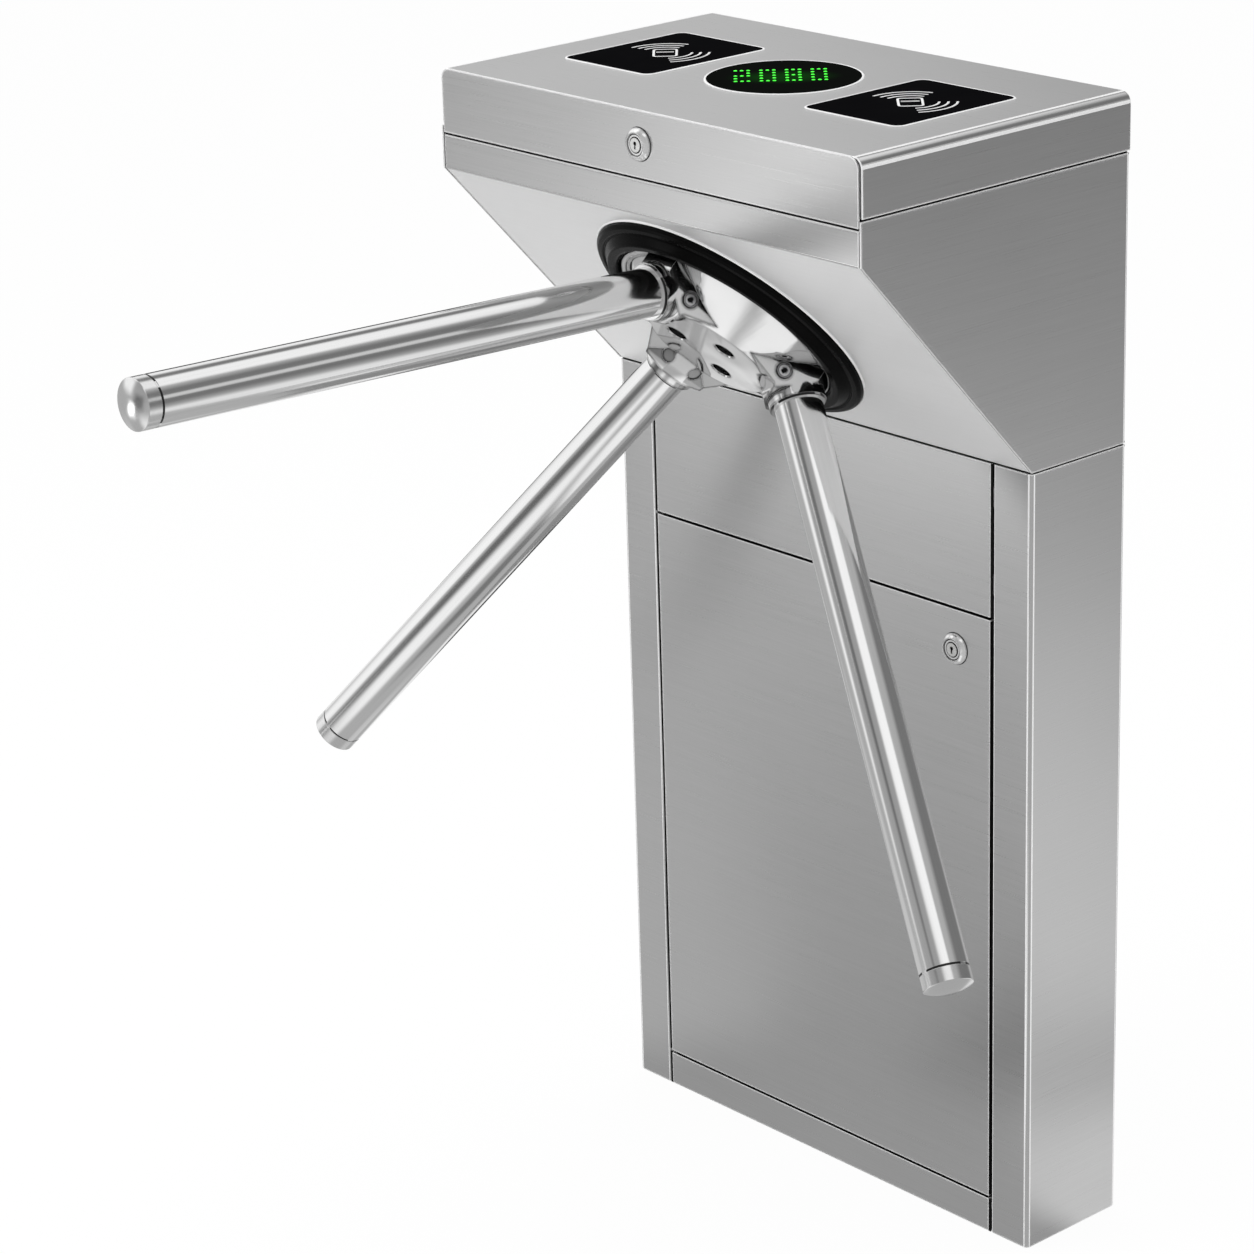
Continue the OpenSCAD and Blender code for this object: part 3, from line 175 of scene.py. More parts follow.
def brushedSheet(name, tone, roughness, metallic=1.0):
    material, tree, shader = newMaterial(name)
    length = brushing["lineLength"]
    fine = brushLines(tree, brushing["fineDensity"], length)
    broad = brushLines(tree, brushing["broadDensity"], length * brushing["broadLength"])
    lines = blendValues(tree, brushing["broadShare"], fine, broad)
    clouds = evenNoise(tree, brushing["cloudScale"])
    spread, cloudSpread = brushing["toneSpread"], brushing["cloudSpread"]
    shade = calculate(tree, "ADD", remap(tree, lines, tone - spread, tone + spread),
                      remap(tree, clouds, -cloudSpread, cloudSpread))
    # Painted highlight and shade at the edges: a bright, less metallic band on the rounded edge and a thin
    # darker line beside it
    turned = edgeTurn(tree, brushing["edgeReach"])
    paintedEdgeShade = remap(tree, turned, brushing["edgeDark"], 1.0, *brushing["edgeLine"])
    paintedHighlightMask = remap(tree, turned, 1.0, 0.0, *brushing["paintedHighlightStep"])
    shade = blendValues(tree, paintedHighlightMask, calculate(tree, "MULTIPLY", shade, paintedEdgeShade), brushing["paintedHighlightTone"])
    shine = remap(tree, paintedHighlightMask, metallic, brushing["paintedHighlightMetallic"], 0.0, 1.0)
    tree.links.new(shine, shader.inputs["Metallic"])
    tree.links.new(greyTone(tree, shade), shader.inputs["Base Color"])
    rough = brushing["roughnessSpread"]
    tree.links.new(remap(tree, lines, roughness - rough, roughness + rough), shader.inputs["Roughness"])
    tree.links.new(bump(tree, lines, brushing["bump"], brushing["bumpHeight"]), shader.inputs["Normal"])
    return material


# Plain metals; some are painted with shade in their creases and a thin line of painted shade along their
# edges

metalGrain = {"cloudScale": 18, "cloudDark": 0.94, "bumpHeight": 0.0002,
              "waveStrength": 0.25, "waveHeight": 0.002}
creases = {"samples": 8, "tone": (0.05, 1.0), "openness": (0.30, 0.92),
           "lineReach": 0.22, "lineDark": 0.12, "line": (0.90, 0.995)}


def creaseShade(tree, shade, crease):
    # Painted shade: darker where the surface is hollow within the crease distance, and a thin dark line
    # along edges
    reach = addNode(tree, "ShaderNodeAmbientOcclusion", samples=creases["samples"], only_local=True,
                    Distance=crease)
    hollow = remap(tree, reach.outputs["AO"], *creases["tone"], *creases["openness"])
    paintedEdgeShade = remap(tree, edgeTurn(tree, crease * creases["lineReach"]), creases["lineDark"], 1.0,
                     *creases["line"])
    return calculate(tree, "MULTIPLY", calculate(tree, "MULTIPLY", shade, hollow), paintedEdgeShade)


def plainMetal(name, colour, roughness, spread=0.03, grain=250.0, relief=0.03, wave=0.0, metallic=1.0,
               crease=0.0):
    material, tree, shader = newMaterial(name)
    fine = evenNoise(tree, grain, detail=4)
    shade = remap(tree, evenNoise(tree, metalGrain["cloudScale"]), metalGrain["cloudDark"], 1.0)
    if crease:
        shade = creaseShade(tree, shade, crease)
    tree.links.new(greyTone(tree, shade, colour), shader.inputs["Base Color"])
    tree.links.new(remap(tree, fine, roughness - spread, roughness + spread), shader.inputs["Roughness"])
    if wave:
        slow = evenNoise(tree, wave, detail=1)
        tree.links.new(bump(tree, slow, metalGrain["waveStrength"], metalGrain["waveHeight"]),
                       shader.inputs["Normal"])
    elif relief:
        tree.links.new(bump(tree, fine, relief, metalGrain["bumpHeight"]), shader.inputs["Normal"])
    shader.inputs["Metallic"].default_value = metallic
    return material


# Polished tube with faint lines along its length

tubeFinish = {"tone": (0.83, 0.88), "roughness": (0.09, 0.13), "lines": (420, 420, 3),
              "bump": 0.02, "bumpHeight": 0.0001}


def drawnTube(name, axis):
    material, tree, shader = newMaterial(name)
    turn = Vector((0, 0, 1)).rotation_difference(axis).to_euler()
    lines = noiseAt(tree, tubeFinish["lines"], turn=turn)
    tree.links.new(greyTone(tree, remap(tree, lines, *tubeFinish["tone"])), shader.inputs["Base Color"])
    tree.links.new(remap(tree, lines, *tubeFinish["roughness"]), shader.inputs["Roughness"])
    tree.links.new(bump(tree, lines, tubeFinish["bump"], tubeFinish["bumpHeight"]),
                   shader.inputs["Normal"])
    shader.inputs["Metallic"].default_value = 1.0
    return material


# Plastic, rubber, paint and print

plasticGrain = {"fineScale": 500, "cloudScale": 25, "cloudDark": 0.85, "bumpHeight": 0.0002}


def plasticFinish(name, colour, roughness, relief=0.08, spread=0.05, shine=0.5):
    material, tree, shader = newMaterial(name)
    fine = evenNoise(tree, plasticGrain["fineScale"])
    clouds = remap(tree, evenNoise(tree, plasticGrain["cloudScale"]), plasticGrain["cloudDark"], 1.0)
    tree.links.new(greyTone(tree, clouds, colour), shader.inputs["Base Color"])
    tree.links.new(remap(tree, fine, roughness - spread, roughness + spread), shader.inputs["Roughness"])
    if relief:
        tree.links.new(bump(tree, fine, relief, plasticGrain["bumpHeight"]), shader.inputs["Normal"])
    shader.inputs["Specular IOR Level"].default_value = shine
    return material


steelSheet = brushedSheet("brushedSheet", brushing["tone"], brushing["roughness"])
# The sloped face: the same brushed sheet painted lighter and less metallic, as painted light
paintedLitSlope = brushedSheet("paintedLitSlope", 0.93, 0.32, metallic=0.55)
# Bends: smoother than the flat sheet, and painted a lighter tone as a highlight
bendPolishAndHighlight = brushedSheet("bendPolishAndHighlight", 0.80, 0.16)
# Near-white, barely metallic finish of rounded edges, bend strips, window rims and the ring trim: a
# painted highlight
edgeHighlightPaint = plainMetal("edgeHighlightPaint", (0.95, 0.95, 0.95), 0.30, relief=0.0, metallic=0.25)
# The hub and the locks take painted shade in their creases and along their edges (crease)
polishedHub = plainMetal("polishedHub", (0.86, 0.86, 0.86), 0.07, grain=120, wave=22, crease=0.016)
polishedCap = plainMetal("polishedCap", (0.84, 0.84, 0.84), 0.17, grain=300)
# Near black for the walls of the hub's bolt wells: painted shade in the recesses
wellShadePaint = plainMetal("wellShadePaint", (0.05, 0.05, 0.05), 0.45)
brightScrew = plainMetal("brightScrew", (0.66, 0.66, 0.67), 0.22)
lockChrome = plainMetal("lockChrome", (0.92, 0.92, 0.92), 0.12, metallic=0.8, crease=0.006)
lockCore = plainMetal("lockCore", (0.74, 0.74, 0.73), 0.22, metallic=0.8, crease=0.005)
zincPlate = plainMetal("zincPlate", (0.52, 0.53, 0.55), 0.42, spread=0.08, grain=60)
machinedSteel = plainMetal("machinedSteel", (0.50, 0.51, 0.52), 0.30, spread=0.06)
castAlloy = plainMetal("castAlloy", (0.62, 0.63, 0.64), 0.48, spread=0.08, grain=500, relief=0.2)
blackRubber = plasticFinish("blackRubber", (0.010, 0.010, 0.010), 0.36, shine=0.35)
ringRubber = plasticFinish("ringRubber", (0.003, 0.003, 0.003), 0.24, relief=0.0, shine=0.03)
blackCase = plasticFinish("blackCase", (0.03, 0.03, 0.032), 0.5)
# Black of the rubber seals, and painted shade and shadow on the marks for sockets, keyways, grooves, lock
# feet and gaps
blackSealAndShadePaint = plasticFinish("blackSealAndShadePaint", (0.004, 0.004, 0.004), 0.7, shine=0.1)
greyCase = plasticFinish("greyCase", (0.35, 0.36, 0.37), 0.5)
greenBoard = plasticFinish("greenBoard", (0.02, 0.12, 0.05), 0.4)
windowGloss = plasticFinish("windowGloss", (0.004, 0.004, 0.0045), 0.10, relief=0.0, spread=0.02,
                            shine=0.0)
whitePrint = plasticFinish("whitePrint", (0.80, 0.80, 0.80), 0.45, relief=0.02, shine=0.2)
print("materials made")


# Nodes of the CAD model, dressed or painted

sheetEdges = {"pedestal_shell": 0.0005, "upper_panel": 0.0006, "bottom_rail": 0.0006,
              "head_shell": 0.0007, "sloped_panel": 0.0007, "lid_shell": 0.0008,
              "lid_front": 0.0008, "door_panel": 0.0006}
bendHighlightNodes = ("lid_shell", "pedestal_shell", "head_shell")
hubWells = {"circle": 0.029, "turn": 70.0, "radius": 0.0087}
dressing = {"merge": 0.000002, "flatAngle": 0.6, "bendAngles": (1, 26), "bendArea": 0.0015,
            "smoothAngle": 32.0, "onSlope": 0.99, "onRing": 0.95}
# Places of the finishes on a dressed node
faceSlot, edgeSlot, bendSlot, chosenSlot = range(4)


def isSoft(edge):
    low, high = (math.radians(angle) for angle in dressing["bendAngles"])
    return len(edge.link_faces) == 2 and low < edge.calc_face_angle(0) < high


def markFaces(bm, bend, facing, paintHighlightStrips):
    for face in bm.faces:
        face.smooth = True
        if bend and face.calc_area() < dressing["bendArea"] and any(isSoft(e) for e in face.edges):
            face.material_index = bendSlot
        if facing and facing[0](face):
            face.material_index = chosenSlot
    if paintHighlightStrips:
        # The first and last strips of a bend are painted as thin bright highlight lines
        highlightStripFaces = [f for f in bm.faces if f.material_index == bendSlot and any(
            isSoft(e) and any(other.material_index in (faceSlot, chosenSlot) for other in e.link_faces)
            for e in f.edges)]
        for face in highlightStripFaces:
            face.material_index = edgeSlot


def dress(name, material, bevel=0.0, segments=2, edge=None, bend=None, facing=None):
    # A merged copy of a node with smooth curves and, if asked, small rounded edges;
    # facing is a test of a face and the finish of the faces that pass it
    source = nodes[name]
    mesh = source.data.copy()
    mesh.name = name + "_dressed"
    bm = bmesh.new()
    bm.from_mesh(mesh)
    bmesh.ops.remove_doubles(bm, verts=bm.verts, dist=dressing["merge"])
    bmesh.ops.dissolve_limit(bm, angle_limit=math.radians(dressing["flatAngle"]), verts=bm.verts,
                             edges=bm.edges)
    bm.normal_update()
    markFaces(bm, bend, facing, name in bendHighlightNodes)
    mesh.materials.clear()
    for finish in (material, edge or material, bend or material, facing[1] if facing else material):
        mesh.materials.append(finish)
    bm.to_mesh(mesh)
    bm.free()
    smoothAngle = math.radians(dressing["smoothAngle"])
    mesh.set_sharp_from_angle(angle=smoothAngle)
    piece = bpy.data.objects.new(name + "_dressed", mesh)
    bpy.context.scene.collection.objects.link(piece)
    if bevel:
        rounding = piece.modifiers.new("roundedEdges", "BEVEL")
        rounding.width = bevel
        rounding.segments = segments
        rounding.limit_method = "ANGLE"
        rounding.angle_limit = smoothAngle
        rounding.use_clamp_overlap = True
        # The rounded edges take the painted edge highlight
        if edge:
            rounding.material = edgeSlot
    shading = piece.modifiers.new("evenShading", "WEIGHTED_NORMAL")
    shading.keep_sharp = True
    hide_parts(name)
    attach(piece, source["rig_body"])
    return piece


def paint(material, *names):
    for name in names:
        mesh = nodes[name].data
        mesh.materials.clear()
        mesh.materials.append(material)


def aroundHub(turn):
    # The direction from the hub's axis, in the sloped panel, at a turn from straight up
    turn = math.radians(turn)
    return math.cos(turn) * hubUp + math.sin(turn) * hubAcross


def armAxis(turn):
    cone = math.radians(armCone["angle"])
    return math.cos(cone) * hubOut + math.sin(cone) * aroundHub(turn)


def onSlope(face):
    return face.normal.dot(hubOut) > dressing["onSlope"]


def inWell(face):
    # Inside one of the three bolt wells of the hub, whose turn counts from across towards up
    for k in range(3):
        middle = hubCentre + hubWells["circle"] * aroundHub(90 - hubWells["turn"] - 120 * k)
        if all((v.co - middle).cross(hubOut).length < hubWells["radius"] for v in face.verts):
            return True
    return False


def onRingSide(face):
    return any(abs(face.normal.dot(armAxis(turn))) > dressing["onRing"] for turn in armTurns.values())


for name, width in sheetEdges.items():
    dress(name, steelSheet, bevel=width, edge=edgeHighlightPaint, bend=bendPolishAndHighlight,
          facing=(onSlope, paintedLitSlope) if name == "sloped_panel" else None)
for name, turn in armTurns.items():
    dress(name, drawnTube("tube_" + name, armAxis(turn)))
dress("arm_caps", polishedCap, bevel=0.0004)
dress("arm_rings", blackRubber, facing=(onRingSide, polishedCap))
dress("hub", polishedHub, bevel=0.0007, edge=edgeHighlightPaint, facing=(inWell, wellShadePaint))
dress("hub_ring", ringRubber, bevel=0.0010, segments=3)
smallNodes = {"hub_bolts": brightScrew, "boss_screws": brightScrew, "lid_lock_body": lockChrome,
              "door_lock_body": lockChrome, "key_switch_body": lockChrome, "lid_lock_core": lockCore,
              "door_lock_core": lockCore, "key_switch_core": lockCore,
              "reader_window_left": windowGloss, "reader_window_right": windowGloss,
              "display_window": windowGloss, "lid_hinge_fixed": steelSheet,
              "lid_hinge_moving": steelSheet, "lid_hinge_pins": brightScrew}
for name, finish in smallNodes.items():
    dress(name, finish, bevel=0.0003)
paint(zincPlate, "base_plate", "back_posts", "mechanism_plate", "plate_posts", "lid_strike")
paint(machinedSteel, "bearings", "main_shaft", "lock_wheel", "main_gear", "damper_pinion",
      "pawl_right", "pawl_left", "plunger_right", "plunger_left", "transformer")
paint(brightScrew, "housing_screws", "door_pivots", "pawl_pins")
paint(castAlloy, "bearing_housing", "damper")
paint(blackSealAndShadePaint, "head_gasket", "lid_seal")
paint(blackCase, "solenoids", "control_box", "key_switch_block", "reader_modules")
paint(greyCase, "power_supply")
paint(greenBoard, "display_module")
print("nodes dressed")


# New pieces: helpers for their meshes

def finishMesh(bm, name, smoothAngle=None):
    bmesh.ops.recalc_face_normals(bm, faces=bm.faces)
    mesh = bpy.data.meshes.new(name)
    bm.to_mesh(mesh)
    bm.free()
    if smoothAngle:
        mesh.polygons.foreach_set("use_smooth", [True] * len(mesh.polygons))
        mesh.set_sharp_from_angle(angle=math.radians(smoothAngle))
    return mesh


def newPiece(mesh, body, material=None):
    if material:
        mesh.materials.clear()
        mesh.materials.append(material)
    piece = bpy.data.objects.new(mesh.name, mesh)
    bpy.context.scene.collection.objects.link(piece)
    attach(piece, body)


def joinRings(bm, rings):
    # Closes a band of rings of vertices, round and across
    for i, near in enumerate(rings):
        far = rings[(i + 1) % len(rings)]
        for j in range(len(near)):
            k = (j + 1) % len(near)
            bm.faces.new((near[j], near[k], far[k], far[j]))


def roundedBox(width, depth, radius, steps=8):
    # Outline of a rectangle with round corners, anticlockwise
    points = []
    for k, (sx, sy) in enumerate(((1, -1), (1, 1), (-1, 1), (-1, -1))):
        for i in range(steps + 1):
            turn = math.radians(-90 + 90 * k + 90 * i / steps)
            points.append(Vector((sx * (width / 2 - radius) + radius * math.cos(turn),
                                  sy * (depth / 2 - radius) + radius * math.sin(turn))))
    return points


def circleLine(radius, steps=96):
    turns = [2 * math.pi * i / steps for i in range(steps)]
    return [Vector((radius * math.cos(turn), radius * math.sin(turn))) for turn in turns]


def sweepOutline(bm, outline, profile, place):
    # A closed band with one profile, given outward and up, along an outline
    rings = []
    for i, point in enumerate(outline):
        along = (outline[(i + 1) % len(outline)] - outline[i - 1]).normalized()
        outward = Vector((along.y, -along.x))
        rings.append([bm.verts.new(place @ Vector((*(point + outward * out), up)))
                      for out, up in profile])
    joinRings(bm, rings)


def addStrip(bm, outline, width, low, high, place):
    # A flat closed line of even width along an outline
    half = width / 2
    sweepOutline(bm, outline, [(-half, low), (-half, high), (half, high), (half, low)], place)


def boxCentre(name):
    low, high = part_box(name)
    return Vector(((low[0] + high[0]) / 2, (low[1] + high[1]) / 2, high[2]))


def boxSize(name):
    low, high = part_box(name)
    return high[0] - low[0], high[1] - low[1]


# Rims of the windows: low rounded bands of metal that follow their outlines, painted near white as a
# highlight

windowRim = {"inside": 0.0003, "width": 0.0019, "height": 0.0007, "sunk": 0.0002, "corner": 0.008,
             "innerDrop": 0.0003, "topFrom": 0.0002, "topShare": 0.7, "outerShare": 0.4}


def makeRims():
    inside, width, height, sunk = (windowRim[k] for k in ("inside", "width", "height", "sunk"))
    profile = [(-inside, height - windowRim["innerDrop"]), (windowRim["topFrom"], height),
               (width * windowRim["topShare"], height), (width, height * windowRim["outerShare"]),
               (width, -sunk), (-inside, -sunk)]
    outlines = {name: roundedBox(*boxSize(name), windowRim["corner"])
                for name in ("reader_window_left", "reader_window_right")}
    outlines["display_window"] = circleLine(boxSize("display_window")[0] / 2)
    bm = bmesh.new()
    for name, outline in outlines.items():
        centre = boxCentre(name)
        centre.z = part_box("lid_shell")[1][2]
        sweepOutline(bm, outline, profile, Matrix.Translation(centre))
    newPiece(finishMesh(bm, "window_rims", 50), "lid", edgeHighlightPaint)


makeRims()


# A thin trim round the foot of the rubber ring, painted near white as a highlight line

ringTrim = {"radius": 0.1261, "width": 0.0013, "height": 0.0012, "sunk": 0.0001, "steps": 128}


def makeRingTrim():
    width, height, sunk = (ringTrim[k] for k in ("width", "height", "sunk"))
    profile = [(0, -sunk), (0, height * 0.7), (width * 0.4, height), (width, height * 0.6), (width, -sunk)]
    bm = bmesh.new()
    sweepOutline(bm, circleLine(ringTrim["radius"], ringTrim["steps"]), profile, hubFrame)
    newPiece(finishMesh(bm, "ring_trim", 40), "cabinet", edgeHighlightPaint)


makeRingTrim()


# Node trees for what repeats

def newTree(name, inputs):
    tree = bpy.data.node_groups.new(name, "GeometryNodeTree")
    tree.interface.new_socket("Geometry", in_out="INPUT", socket_type="NodeSocketGeometry")
    for label, value in inputs.items():
        kind = "NodeSocketInt" if isinstance(value, int) else "NodeSocketFloat"
        tree.interface.new_socket(label, in_out="INPUT", socket_type=kind).default_value = value
    tree.interface.new_socket("Geometry", in_out="OUTPUT", socket_type="NodeSocketGeometry")
    return tree, tree.nodes.new("NodeGroupInput").outputs


def finishTree(tree, geometry, material):
    # Every tree ends as real geometry with its material
    real = addNode(tree, "GeometryNodeRealizeInstances", Geometry=geometry)
    finish = addNode(tree, "GeometryNodeSetMaterial", Geometry=real.outputs["Geometry"],
                     Material=material)
    addNode(tree, "NodeGroupOutput", Geometry=finish.outputs["Geometry"])


def spreadCopies(tree, points, copy, **settings):
    return addNode(tree, "GeometryNodeInstanceOnPoints", Points=points, Instance=copy,
                   **settings).outputs["Instances"]


def grow(name, tree, points, settings, facing=None):
    # Runs a tree on a mesh of loose points and gives the result as a plain mesh
    base = bpy.data.meshes.new(name + "_points")
    base.from_pydata([tuple(p) for p in points], [], [])
    if facing:
        directions = base.attributes.new("facing", "FLOAT_VECTOR", "POINT")
        directions.data.foreach_set("vector", [v for direction in facing for v in direction])
    holder = bpy.data.objects.new(name + "_points", base)
    bpy.context.scene.collection.objects.link(holder)
    modifier = holder.modifiers.new(name, "NODES")
    modifier.node_group = tree
    for item in tree.interface.items_tree:
        if item.item_type == "SOCKET" and item.in_out == "INPUT" and item.name in settings:
            modifier[item.identifier] = settings[item.name]
    depsgraph = bpy.context.evaluated_depsgraph_get()
    mesh = bpy.data.meshes.new_from_object(holder.evaluated_get(depsgraph), depsgraph=depsgraph)
    mesh.name = name
    holder.modifiers.clear()
    bpy.data.objects.remove(holder)
    return mesh


# Lamps of the display: one low dome for each lit place of the matrix

displayLamps = {"Dot Size": 0.0034, "Dot Height": 0.0005, "Dot Sides": 12, "topShare": 0.36,
                "columnStep": 0.0052, "rowStep": 0.0100, "turn": 47.0, "digits": "2080",
                "centre": (-0.0060, 0.0020), "sunk": 0.0001, "strength": 1.3, "dimShare": 0.6,
                "sparkleScale": 300, "glowPaintReach": (0.046, 0.026, 1), "glowPaintStrength": 0.035,
                "glowPaintFade": (0.2, 1.1), "grainScale": 400, "gloss": (0.08, 0.12)}
digitRows = {"0": ("111", "101", "101", "101", "111"), "2": ("111", "001", "111", "100", "111"),
             "8": ("111", "101", "111", "101", "111")}


def lampPlaces():
    places = []
    columns = 4 * len(displayLamps["digits"]) - 1
    turn = Matrix.Rotation(math.radians(displayLamps["turn"]), 2)
    centre = boxCentre("display_window")
    middle = Vector((centre.x, centre.y)) + Vector(displayLamps["centre"])
    for place, digit in enumerate(displayLamps["digits"]):
        for row, marks in enumerate(digitRows[digit]):
            for column, mark in enumerate(marks):
                if mark == "1":
                    steps = 4 * place + column - (columns - 1) / 2
                    flat = middle + turn @ Vector((steps * displayLamps["columnStep"],
                                                   (2 - row) * displayLamps["rowStep"]))
                    places.append((*flat, centre.z - displayLamps["sunk"]))
    return places


def lampGlow():
    glow, tree, shader = newMaterial("greenLamp")
    sparkle = evenNoise(tree, displayLamps["sparkleScale"], detail=1)
    strength = displayLamps["strength"]
    tree.links.new(remap(tree, sparkle, strength * displayLamps["dimShare"], strength),
                   shader.inputs["Emission Strength"])
    shader.inputs["Emission Color"].default_value = (0.03, 1.0, 0.01, 1)
    shader.inputs["Base Color"].default_value = (0.02, 0.3, 0.02, 1)
    shader.inputs["Roughness"].default_value = 0.4
    return glow


def displayPaintedGlow():
    # The window's gloss, with a faint green glow painted round the lit lamps
    windowGlowPaint, tree, shader = newMaterial("displayPaintedGlow")
    coords = addNode(tree, "ShaderNodeTexCoord")
    mapping = addNode(tree, "ShaderNodeMapping", vector_type="TEXTURE", Vector=coords.outputs["Object"],
                      Location=boxCentre("display_window"),
                      Rotation=(0, 0, math.radians(displayLamps["turn"])),
                      Scale=displayLamps["glowPaintReach"])
    reach = addNode(tree, "ShaderNodeVectorMath", operation="LENGTH")
    tree.links.new(mapping.outputs["Vector"], reach.inputs[0])
    glow = remap(tree, reach.outputs["Value"], displayLamps["glowPaintStrength"], 0.0,
                 *displayLamps["glowPaintFade"], "SMOOTHSTEP")
    tree.links.new(glow, shader.inputs["Emission Strength"])
    grain = evenNoise(tree, displayLamps["grainScale"])
    tree.links.new(remap(tree, grain, *displayLamps["gloss"]), shader.inputs["Roughness"])
    shader.inputs["Emission Color"].default_value = (0.02, 1.0, 0.02, 1)
    shader.inputs["Base Color"].default_value = (0.004, 0.0045, 0.004, 1)
    shader.inputs["Specular IOR Level"].default_value = 0.0
    return windowGlowPaint


def makeDisplay():
    sizes = {k: displayLamps[k] for k in ("Dot Size", "Dot Height", "Dot Sides")}
    tree, given = newTree("displayLampTree", sizes)
    radii = {"Radius Bottom": calculate(tree, "MULTIPLY", given["Dot Size"], 0.5),
             "Radius Top": calculate(tree, "MULTIPLY", given["Dot Size"], displayLamps["topShare"])}
    dome = addNode(tree, "GeometryNodeMeshCone", Vertices=given["Dot Sides"], Depth=given["Dot Height"],
                   **radii)
    finishTree(tree, spreadCopies(tree, given["Geometry"], dome.outputs["Mesh"]), lampGlow())
    newPiece(grow("display_lamps", tree, lampPlaces(), sizes), "lid")
    windowGlowPaint = displayPaintedGlow()
    window = bpy.data.objects["display_window_dressed"]
    for slot in range(len(window.data.materials)):
        window.data.materials[slot] = windowGlowPaint


makeDisplay()


# Card signs on the two reader windows: a card outline between two sets of arcs

cardSign = {"Arc Count": 3, "First Radius": 0.0225, "Radius Step": 0.0072, "Line Width": 0.0020,
            "Sweep": 80.0, "facing": (146.0, 4.0), "thickness": 0.00012, "cardWidth": 0.019,
            "cardDepth": 0.028, "cardRadius": 0.003, "cardTurn": 47.0,
            "stripeShare": 0.38, "stripeDepth": 0.0012, "stripeAt": 0.003, "stripeLine": 0.0010,
            "liftShare": 0.45}


def arcTree():
    sizes = {k: cardSign[k] for k in ("Arc Count", "First Radius", "Radius Step", "Line Width", "Sweep")}
    tree, given = newTree("signArcTree", sizes)
    line = addNode(tree, "GeometryNodeMeshLine", Count=given["Arc Count"], Offset=(0, 0, 0))
    sweep = calculate(tree, "RADIANS", given["Sweep"])
    angles = {"Sweep Angle": sweep, "Start Angle": calculate(tree, "MULTIPLY", sweep, -0.5)}
    arc = addNode(tree, "GeometryNodeCurveArc", Resolution=24, Radius=1.0, **angles)
    index = addNode(tree, "GeometryNodeInputIndex")
    size = calculate(tree, "MULTIPLY_ADD", index.outputs["Index"], given["Radius Step"],
                     given["First Radius"])
    arcs = spreadCopies(tree, line.outputs["Mesh"], arc.outputs["Curve"], Scale=size)
    real = addNode(tree, "GeometryNodeRealizeInstances", Geometry=arcs)
    strip = addNode(tree, "GeometryNodeCurvePrimitiveQuadrilateral", Width=given["Line Width"],
                    Height=cardSign["thickness"])
    sweepMesh = addNode(tree, "GeometryNodeCurveToMesh", Curve=real.outputs["Geometry"],
                        **{"Profile Curve": strip.outputs["Curve"], "Fill Caps": True})
    finishTree(tree, sweepMesh.outputs["Mesh"], whitePrint)
    return tree, sizes


def makeSigns():
    tree, sizes = arcTree()
    arcs = grow("sign_arcs", tree, [(0, 0, 0)], sizes)
    bm = bmesh.new()
    thick = cardSign["thickness"]
    card = roundedBox(cardSign["cardWidth"], cardSign["cardDepth"], cardSign["cardRadius"], 5)
    stripe = [Vector((x * cardSign["cardWidth"] * cardSign["stripeShare"],
                      y * cardSign["stripeDepth"] + cardSign["stripeAt"]))
              for x, y in ((-1, -1), (1, -1), (1, 1), (-1, 1))]
    for name in ("reader_window_left", "reader_window_right"):
        lift = Vector((0, 0, thick * cardSign["liftShare"]))
        centre = Matrix.Translation(boxCentre(name) + lift)
        for facing in cardSign["facing"]:
            before = len(bm.verts)
            bm.from_mesh(arcs)
            bm.verts.ensure_lookup_table()
            bmesh.ops.transform(bm, matrix=centre @ Matrix.Rotation(math.radians(facing), 4, "Z"),
                                verts=bm.verts[before:])
        place = centre @ Matrix.Rotation(math.radians(cardSign["cardTurn"]), 4, "Z")
        addStrip(bm, card, cardSign["Line Width"], -thick / 2, thick / 2, place)
        addStrip(bm, stripe, cardSign["stripeLine"], -thick / 2, thick / 2, place)
    bpy.data.meshes.remove(arcs)
    newPiece(finishMesh(bm, "reader_signs"), "lid", whitePrint)


makeSigns()


# Screws of the lid hinges: low round heads with a hexagon socket, all facing back

hingeScrews = {"Head Size": 0.0072, "Head Height": 0.0019, "Socket Size": 0.0030, "topShare": 0.36,
               "socketDepth": 0.003, "socketLift": 0.0022, "hinges": (-0.150, 0.150),
               "xFromCentre": 0.020, "y": 0.0580, "zFromPin": 0.0165}
hexagonRadius = 0.577  # of a hexagon, as a share of its width across the flats


def screwTree():
    sizes = {k: hingeScrews[k] for k in ("Head Size", "Head Height", "Socket Size")}
    tree, given = newTree("hingeScrewTree", sizes)
    radii = {"Radius Bottom": calculate(tree, "MULTIPLY", given["Head Size"], 0.5),
             "Radius Top": calculate(tree, "MULTIPLY", given["Head Size"], hingeScrews["topShare"])}
    head = addNode(tree, "GeometryNodeMeshCone", Vertices=20, Depth=given["Head Height"], **radii)
    socket = addNode(tree, "GeometryNodeMeshCylinder", Vertices=6, Depth=hingeScrews["socketDepth"],
                     Radius=calculate(tree, "MULTIPLY", given["Socket Size"], hexagonRadius))
    lifted = addNode(tree, "GeometryNodeTransform", Geometry=socket.outputs["Mesh"],
                     Translation=(0, 0, hingeScrews["socketLift"]))
    meshes = {"Mesh 1": head.outputs["Mesh"], "Mesh 2": lifted.outputs["Geometry"]}
    cut = addNode(tree, "GeometryNodeMeshBoolean", operation="DIFFERENCE", **meshes)
    screws = spreadCopies(tree, given["Geometry"], cut.outputs["Mesh"], Rotation=(-math.pi / 2, 0, 0))
    finishTree(tree, screws, brightScrew)
    return tree, sizes


